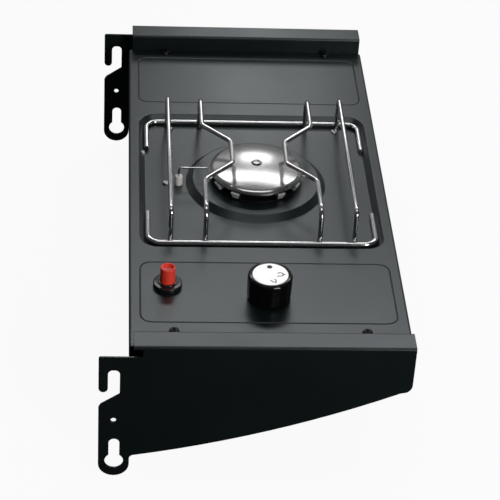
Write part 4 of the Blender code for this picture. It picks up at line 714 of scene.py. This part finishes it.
head_metal = cast_metal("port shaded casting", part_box("burner_head")[0].z + PORT_SHADE_DEPTH)
refined("burner_head", "table", "cast_aluminium", head_metal, HEAD_EDGE)
body_metal = cast_metal("plain casting", cad_low.z)
refined("burner_body", "table", "cast_aluminium", body_metal, BODY_EDGE)
for number in (1, 2):
    recoat(f"head_screw_{number}", zinc)


# Burner strap and air shutter: zinc-plated sheet under the well. The strap hangs from two screws
# and holds the casting's rear lug, and the shutter turns on the tube's mouth.
STRAP_EDGE = 0.0003
SHUTTER_EDGE = 0.00015

refined("burner_strap", "table", "zinc", zinc, STRAP_EDGE)
refined("air_shutter", "table", "zinc", zinc, SHUTTER_EDGE)
for node in ("strap_screw_1", "strap_screw_2", "lug_bolt"):
    pan_screw(node, "zinc", zinc, head_share=0.18)
for number in (1, 2, 3):
    refined(f"strap_nut_{number}", "table", "zinc", zinc, NUT_EDGE, NUT_SHARP)


# Spark electrode: a glazed ceramic tube through the well floor, held by a sheet clip and a bright
# screw, with a steel wire bent over to the cap's rim.
CERAMIC_WHITE = (0.88, 0.87, 0.84)
CERAMIC_WARM = (0.76, 0.75, 0.70)
TUBE_RADIUS = 0.0043
TUBE_FOOT_RADIUS = 0.0040
TUBE_BORE = 0.0014
TUBE_ROUND = (0.0012, 0.0014)
COLLAR_DROP = 0.0083
COLLAR_TALL = 0.003
SPARK_BEND = 0.003
CLIP_EDGE = 0.0001

ceramic = Paint("glazed ceramic", CERAMIC_WHITE, 0.35, 0.0, {"Coat Weight": 0.6, "Coat Roughness": 0.12})
ceramic.tint(ceramic.noise(0.004, 4.0), CERAMIC_WHITE, CERAMIC_WARM)

tube_low, tube_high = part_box("electrode_insulator")
tube_centre = (tube_low + tube_high) / 2
collar_radius = (tube_high.x - tube_low.x) / 2
collar_top = plate_high.z - COLLAR_DROP
collar_foot = collar_top - COLLAR_TALL
tube_edge, tube_drop = TUBE_ROUND
ceramic_body = [(TUBE_BORE, tube_high.z), (TUBE_RADIUS - tube_edge, tube_high.z)]
ceramic_body += bowed(ceramic_body[-1], (TUBE_RADIUS, tube_high.z - tube_drop), rise=0.0004, steps=6)
ceramic_body += [(TUBE_RADIUS, collar_top), (collar_radius, collar_top), (collar_radius, collar_foot)]
ceramic_body += [(TUBE_FOOT_RADIUS, collar_foot), (TUBE_FOOT_RADIUS, tube_low.z), (TUBE_BORE, tube_low.z)]
ceramic_bm = spun(ceramic_body, (tube_centre.x, tube_centre.y, 0), 48, closed=True)
insulator = show("ceramic_insulator", ceramic_bm, ceramic)
settle(insulator, "table", "white_ceramic", "electrode_insulator")

spark_low, spark_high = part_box("electrode_wire")
spark_radius = (spark_high.y - spark_low.y) / 2
spark_y = (spark_low.y + spark_high.y) / 2
spark_x = spark_low.x + spark_radius
spark_top = spark_high.z - spark_radius
spark_path = [(spark_x, spark_y, spark_low.z), (spark_x, spark_y, spark_top)]
spark_path += [(spark_high.x, spark_y, spark_top)]
spark_wire = wire("spark_wire", bent(spark_path, SPARK_BEND), spark_radius, chrome, 3)
settle(spark_wire, "table", "polished_steel", "electrode_wire")
refined("electrode_clip", "table", "zinc", zinc, CLIP_EDGE)
pan_screw("electrode_screw", "zinc", zinc, head_share=0.19)


# Igniter: a black barrel through the plate with a stepped bezel over it, a hexagon nut under it and
# a red button that is pressed against a spring. The piezo unit stands inside.
RED = (0.96, 0.042, 0.020)
RED_WORN = (0.98, 0.085, 0.050)
GLOSS_BLACK = (0.010, 0.010, 0.011)
MATTE_BLACK = (0.030, 0.030, 0.031)
CLEARANCE = 0.0003
BUTTON_RADIUS = 0.0075
BUTTON_EDGE = 0.0008
BUTTON_ROUND = 0.0010
SKIRT_RADIUS = 0.0084
DISH_DEPTH = 0.0032
DISH_INSET = 0.0022
DISH_LIP = (0.0019, 0.0004)
COLLAR_RADIUS = 0.0096
COLLAR_ROUND = 0.0005
BARREL_BORE = 0.0109
STEP_DROP = 0.0012
STEP_CHAMFER = 0.0003
FLANGE_ROUND = 0.0010
BARREL_EDGE = 0.0002
BARREL_NUT_EDGE = 0.0004

red = Paint("red plastic", RED, 0.34)
red.tint(red.noise(0.003, 3.0), RED, RED_WORN)
red.relief(red.noise(0.0004), 0.00003, 0.5)
black = Paint("black plastic", GLOSS_BLACK, 0.22)
black.mottle(black.noise(0.005, 3.0), 0.13, 0.27)
moulded = Paint("moulded plastic", MATTE_BLACK, 0.5)
moulded.mottle(moulded.noise(0.002, 3.0), 0.38, 0.58)
moulded.relief(moulded.noise(0.0003), 0.00004, 0.6)

bezel_low, bezel_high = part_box("igniter_bezel")
igniter = (bezel_low + bezel_high) / 2
flange = (bezel_high.x - bezel_low.x) / 2
seat = bezel_low.z
collar_rise = bezel_high.z - seat
flange_rise = collar_rise - STEP_DROP
barrel_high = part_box("igniter_barrel")[1].z
ledge = barrel_high + CLEARANCE - seat
inner = BUTTON_RADIUS + CLEARANCE
bezel_shape = [(inner, collar_rise - STEP_CHAMFER), (inner + STEP_CHAMFER, collar_rise)]
bezel_shape += [(COLLAR_RADIUS - COLLAR_ROUND, collar_rise)]
bezel_shape += bowed(bezel_shape[-1], (COLLAR_RADIUS, collar_rise - COLLAR_ROUND), rise=0.0001, steps=4)
bezel_shape += [(COLLAR_RADIUS, flange_rise + STEP_CHAMFER), (COLLAR_RADIUS + STEP_CHAMFER, flange_rise)]
bezel_shape += [(flange - FLANGE_ROUND, flange_rise)]
bezel_shape += bowed(bezel_shape[-1], (flange, flange_rise - FLANGE_ROUND), rise=0.0003, steps=6)
bezel_shape += [(flange, 0.0), (BARREL_BORE, 0.0), (BARREL_BORE, ledge), (inner, ledge)]
bezel_bm = spun(bezel_shape, (igniter.x, igniter.y, seat), 64, closed=True)
bezel = show("stepped_bezel", bezel_bm, black)
settle(bezel, "table", "black_plastic", "igniter_bezel")

button_low, button_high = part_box("igniter_button")
button_tall = button_high.z - button_low.z
skirt_top = barrel_high - CLEARANCE - button_low.z
lip_inset, lip_drop = DISH_LIP
button_shape = [(0.0, button_tall - DISH_DEPTH)]
dish_corner = (BUTTON_RADIUS - DISH_INSET, button_tall - DISH_INSET)
button_shape += bowed(button_shape[-1], dish_corner, rise=-0.0004, steps=6)
button_shape += [(BUTTON_RADIUS - lip_inset, button_tall - lip_drop)]
button_shape += bowed(button_shape[-1], (BUTTON_RADIUS - BUTTON_EDGE, button_tall), rise=0.0002, steps=3)
button_shape += bowed(button_shape[-1], (BUTTON_RADIUS, button_tall - BUTTON_ROUND), rise=0.0003, steps=4)
button_shape += [(BUTTON_RADIUS, skirt_top), (SKIRT_RADIUS, skirt_top), (SKIRT_RADIUS, 0.0), (0.0, 0.0)]
button = show("red_button", spun(button_shape, (igniter.x, igniter.y, button_low.z), 56), red)
settle(button, "igniter_button", "red_plastic", "igniter_button")

refined("igniter_barrel", "table", "black_plastic", moulded, BARREL_EDGE)
refined("igniter_nut", "table", "black_plastic", moulded, BARREL_NUT_EDGE, NUT_SHARP)
recoat("piezo_unit", ceramic)


def pressed_spring(node, body, joint_name):
    """A wound spring from its CAD solid, with a mesh of its own. Its joint's travel is looked up, but the
    spring is not squeezed.
    """
    low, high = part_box(node)
    joints = frame["record"]["behaviour"]["joints"]
    travel = next(joint["range_m"][1] for joint in joints if joint["name"] == joint_name)
    spring = refined(node, body, "zinc", zinc, 0, sharp=60)
    1 - travel / (high.z - low.z)
    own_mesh(spring)


pressed_spring("igniter_spring", "table", "igniter_press")


# Ignition lead: a rubber-covered wire in a clip under the well, with a boot on each end.
# It runs from the igniter's terminal to the foot of the electrode.
RUBBER_BLACK = (0.022, 0.022, 0.023)
BOOT_EDGE = 0.0002
LEAD_CLIP_EDGE = 0.0003

rubber = Paint("black rubber", RUBBER_BLACK, 0.6)
rubber.mottle(rubber.noise(0.003, 3.0), 0.5, 0.7)
rubber.relief(rubber.noise(0.0005), 0.00003, 0.5)
refined("ignition_lead", "table", "lead_rubber", rubber, 0, sharp=60)
for node in ("igniter_boot", "electrode_boot"):
    refined(node, "table", "lead_rubber", rubber, BOOT_EDGE)
refined("lead_clip", "table", "black_plastic", moulded, LEAD_CLIP_EDGE)


# Gas valve: a turned brass body screwed under the plate through its bonnet, with a taper plug, a
# stem, an injector that points into the mixing tube and a hexagon inlet for the hose.
BRASS_BRIGHT = (0.72, 0.53, 0.24)
BRASS_DULL = (0.46, 0.31, 0.13)
TURNED_STRETCH = (1.0, 1.0, 6.0)
VALVE_EDGE = 0.00025
STEM_EDGE = 0.0001

brass = Paint("machined brass", BRASS_BRIGHT, 0.28, 1.0)
brass_age = brass.noise(0.010, 4.0)
brass.tint(brass_age, BRASS_BRIGHT, BRASS_DULL)
brass.mottle(brass_age, 0.20, 0.45)
brass.relief(brass.noise(0.0003, 1.0, TURNED_STRETCH), 0.00002, 0.5)
for node in ("valve_body", "valve_bonnet", "injector", "inlet_fitting"):
    refined(node, "table", "brass", brass, VALVE_EDGE)
refined("valve_stem", "knob", "brass", brass, STEM_EDGE)
for number in (1, 2):
    pan_screw(f"valve_screw_{number}", "zinc", zinc, head_share=0.18)
recoat("valve_plug", brass)
pressed_spring("valve_spring", "valve_plug", "knob_push")


# Knob: glossy black phenolic with shallow grip flutes round it, a bevelled crown and a silver-white
# dial disc let in flush. The disc carries a dot for off and a large and a small flame.
JET_BLACK = (0.0030, 0.0030, 0.0032)
DIAL_WHITE = (0.95, 0.955, 0.96)
DIAL_SILVER = (0.85, 0.86, 0.87)
INK = (0.020, 0.020, 0.022)
FLUTES = 16
FLUTE_DEPTH = 0.00045
CROWN_INSET = 0.0020
FOOT_INSET = 0.0005
SHOULDER_DROP = 0.0026
KNOB_WALL = 0.0020
KNOB_CEILING = 0.0045
CUP_DRAFT = 0.0012
HUB_RADII = (0.0062, 0.0058)
HUB_RISE = 0.0020
STEM_BORE = 0.0033
CROWN_RIM = 0.0002
FOOT_EDGE = 0.0004
GRIP_DROP = 0.0008
GRIP_FADE = 0.0024
DIAL_EDGE = 0.0002
DIAL_RINGS = 0.0005
DOT_RADIUS = 0.0027
DOT_REACH = 0.76
DOT_SHIFT = (-0.0002, -0.0015)
FLAMES = ((0.0080, 0.0012, (0.56, -0.01), 0), (0.0064, 0.0011, (0.16, -0.60), -62))
MARK_LIFT = 0.00003

knob_low, knob_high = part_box("knob")
knob_centre = (knob_low + knob_high) / 2
knob_radius = (knob_high.x - knob_low.x) / 2
knob_tall = knob_high.z - knob_low.z
dial_low, dial_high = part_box("knob_dial")
dial_radius = (dial_high.x - dial_low.x) / 2
dial_floor = dial_low.z - CLEARANCE - knob_low.z
recess = dial_radius + CLEARANCE
foot = knob_radius - FOOT_INSET
cup = foot - KNOB_WALL
ceiling = knob_tall - KNOB_CEILING
hub_top, hub_foot = HUB_RADII
stem_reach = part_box("valve_stem")[1].z + CLEARANCE - knob_low.z
side = [(0.0, dial_floor), (recess, dial_floor), (recess, knob_tall - CROWN_RIM)]
side += [(recess + CROWN_RIM, knob_tall), (knob_radius - CROWN_INSET, knob_tall)]
side += bowed(side[-1], (knob_radius, knob_tall - SHOULDER_DROP), rise=0.0003, steps=8)
side += bowed(side[-1], (foot, FOOT_EDGE), rise=0.0001, steps=12)
side += [(foot - FOOT_EDGE, 0.0), (cup, 0.0), (cup - CUP_DRAFT, ceiling), (hub_top, ceiling)]
side += [(hub_foot, HUB_RISE), (STEM_BORE, HUB_RISE), (STEM_BORE, stem_reach), (0.0, stem_reach)]
knob_bm = spun(side, (0, 0, 0), FLUTES * 8)
grip_top = knob_tall - GRIP_DROP
for vert in knob_bm.verts:
    reach = hypot(vert.co.x, vert.co.y)
    if reach < knob_radius - CROWN_INSET or vert.co.z > grip_top:
        continue
    wave = 0.5 - 0.5 * cos(atan2(vert.co.y, vert.co.x) * FLUTES)
    fade = min(1.0, (grip_top - vert.co.z) / GRIP_FADE)
    vert.co.xy *= 1 - FLUTE_DEPTH * wave * fade / reach
bmesh.ops.translate(knob_bm, verts=knob_bm.verts, vec=(knob_centre.x, knob_centre.y, knob_low.z))
phenolic = Paint("black phenolic", JET_BLACK, 0.14, 0.0, {"Specular IOR Level": 0.36})
phenolic.mottle(phenolic.noise(0.004, 3.0), 0.09, 0.17)
knob = show("fluted_knob", knob_bm, phenolic, sharp=40)
settle(knob, "knob", "black_plastic", "knob")

dial_paint = Paint("dial face", DIAL_WHITE, 0.35, 0.6)
dial_paint.tint(rings(dial_paint, knob_centre, DIAL_RINGS), DIAL_WHITE, DIAL_SILVER)
dial_tall = dial_high.z - dial_low.z
disc = [(0.0, dial_tall), (dial_radius - DIAL_EDGE, dial_tall), (dial_radius, dial_tall - DIAL_EDGE)]
disc += [(dial_radius, 0.0), (0.0, 0.0)]
dial = show("dial_disc", spun(disc, (knob_centre.x, knob_centre.y, dial_low.z), 96), dial_paint)
settle(dial, "knob", "dial_face", "knob_dial")

ink = Paint("dial ink", INK, 0.5)
ink.mottle(ink.noise(0.001), 0.4, 0.6)


def stroke(bm, points, line, place, turn):
    """Adds a printed line of this width through points, at a place on the dial."""
    move = Matrix.Translation((*place, 0)) @ Matrix.Rotation(turn, 4, "Z")
    path = [Vector(point) for point in points]
    rows = []
    for before, here, after in zip([path[0], *path], path, [*path[1:], path[-1]]):
        along = (after - before).normalized()
        side = Vector((-along.y, along.x)) * (line / 2)
        rows.append([bm.verts.new(move @ Vector((*(here + shift), 0))) for shift in (side, -side)])
    for (left, right), (next_left, next_right) in zip(rows, rows[1:]):
        bm.faces.new((left, right, next_right, next_left))


def flame(bm, size, line, place, turn):
    """Adds an open flame whose tip points along +X before its turn."""
    body = [(-0.42, -0.46), (-0.16, -0.30), (0.10, -0.34), *bowed((0.10, -0.34), (0.16, 0.30), -0.20, 8)]
    body += [(-0.10, 0.36), (-0.34, 0.20)]
    stroke(bm, [(x * size, y * size) for x, y in body], line, place, turn)
    stroke(bm, [(0.30 * size, 0.0), (0.44 * size, 0.04 * size), (0.60 * size, 0.0)], line, place, turn)


marks = bmesh.new()
dot_aside, dot_back = DOT_SHIFT
dot_place = (dot_aside, dial_radius * DOT_REACH + dot_back)
dot = bmesh.ops.create_circle(marks, cap_ends=True, segments=32, radius=DOT_RADIUS)
bmesh.ops.translate(marks, verts=dot["verts"], vec=(*dot_place, 0))
for size, line, (aside, ahead), turn in FLAMES:
    flame(marks, size, line, (dial_radius * aside, dial_radius * ahead), radians(turn))
mark_centre = (knob_centre.x, knob_centre.y, dial_high.z + MARK_LIFT)
bmesh.ops.translate(marks, verts=marks.verts, vec=mark_centre)
for face in marks.faces:
    if face.normal.z < 0:
        face.normal_flip()
printed = show("dial_marks", marks, ink)
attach(printed, "knob")

bpy.context.view_layer.update()
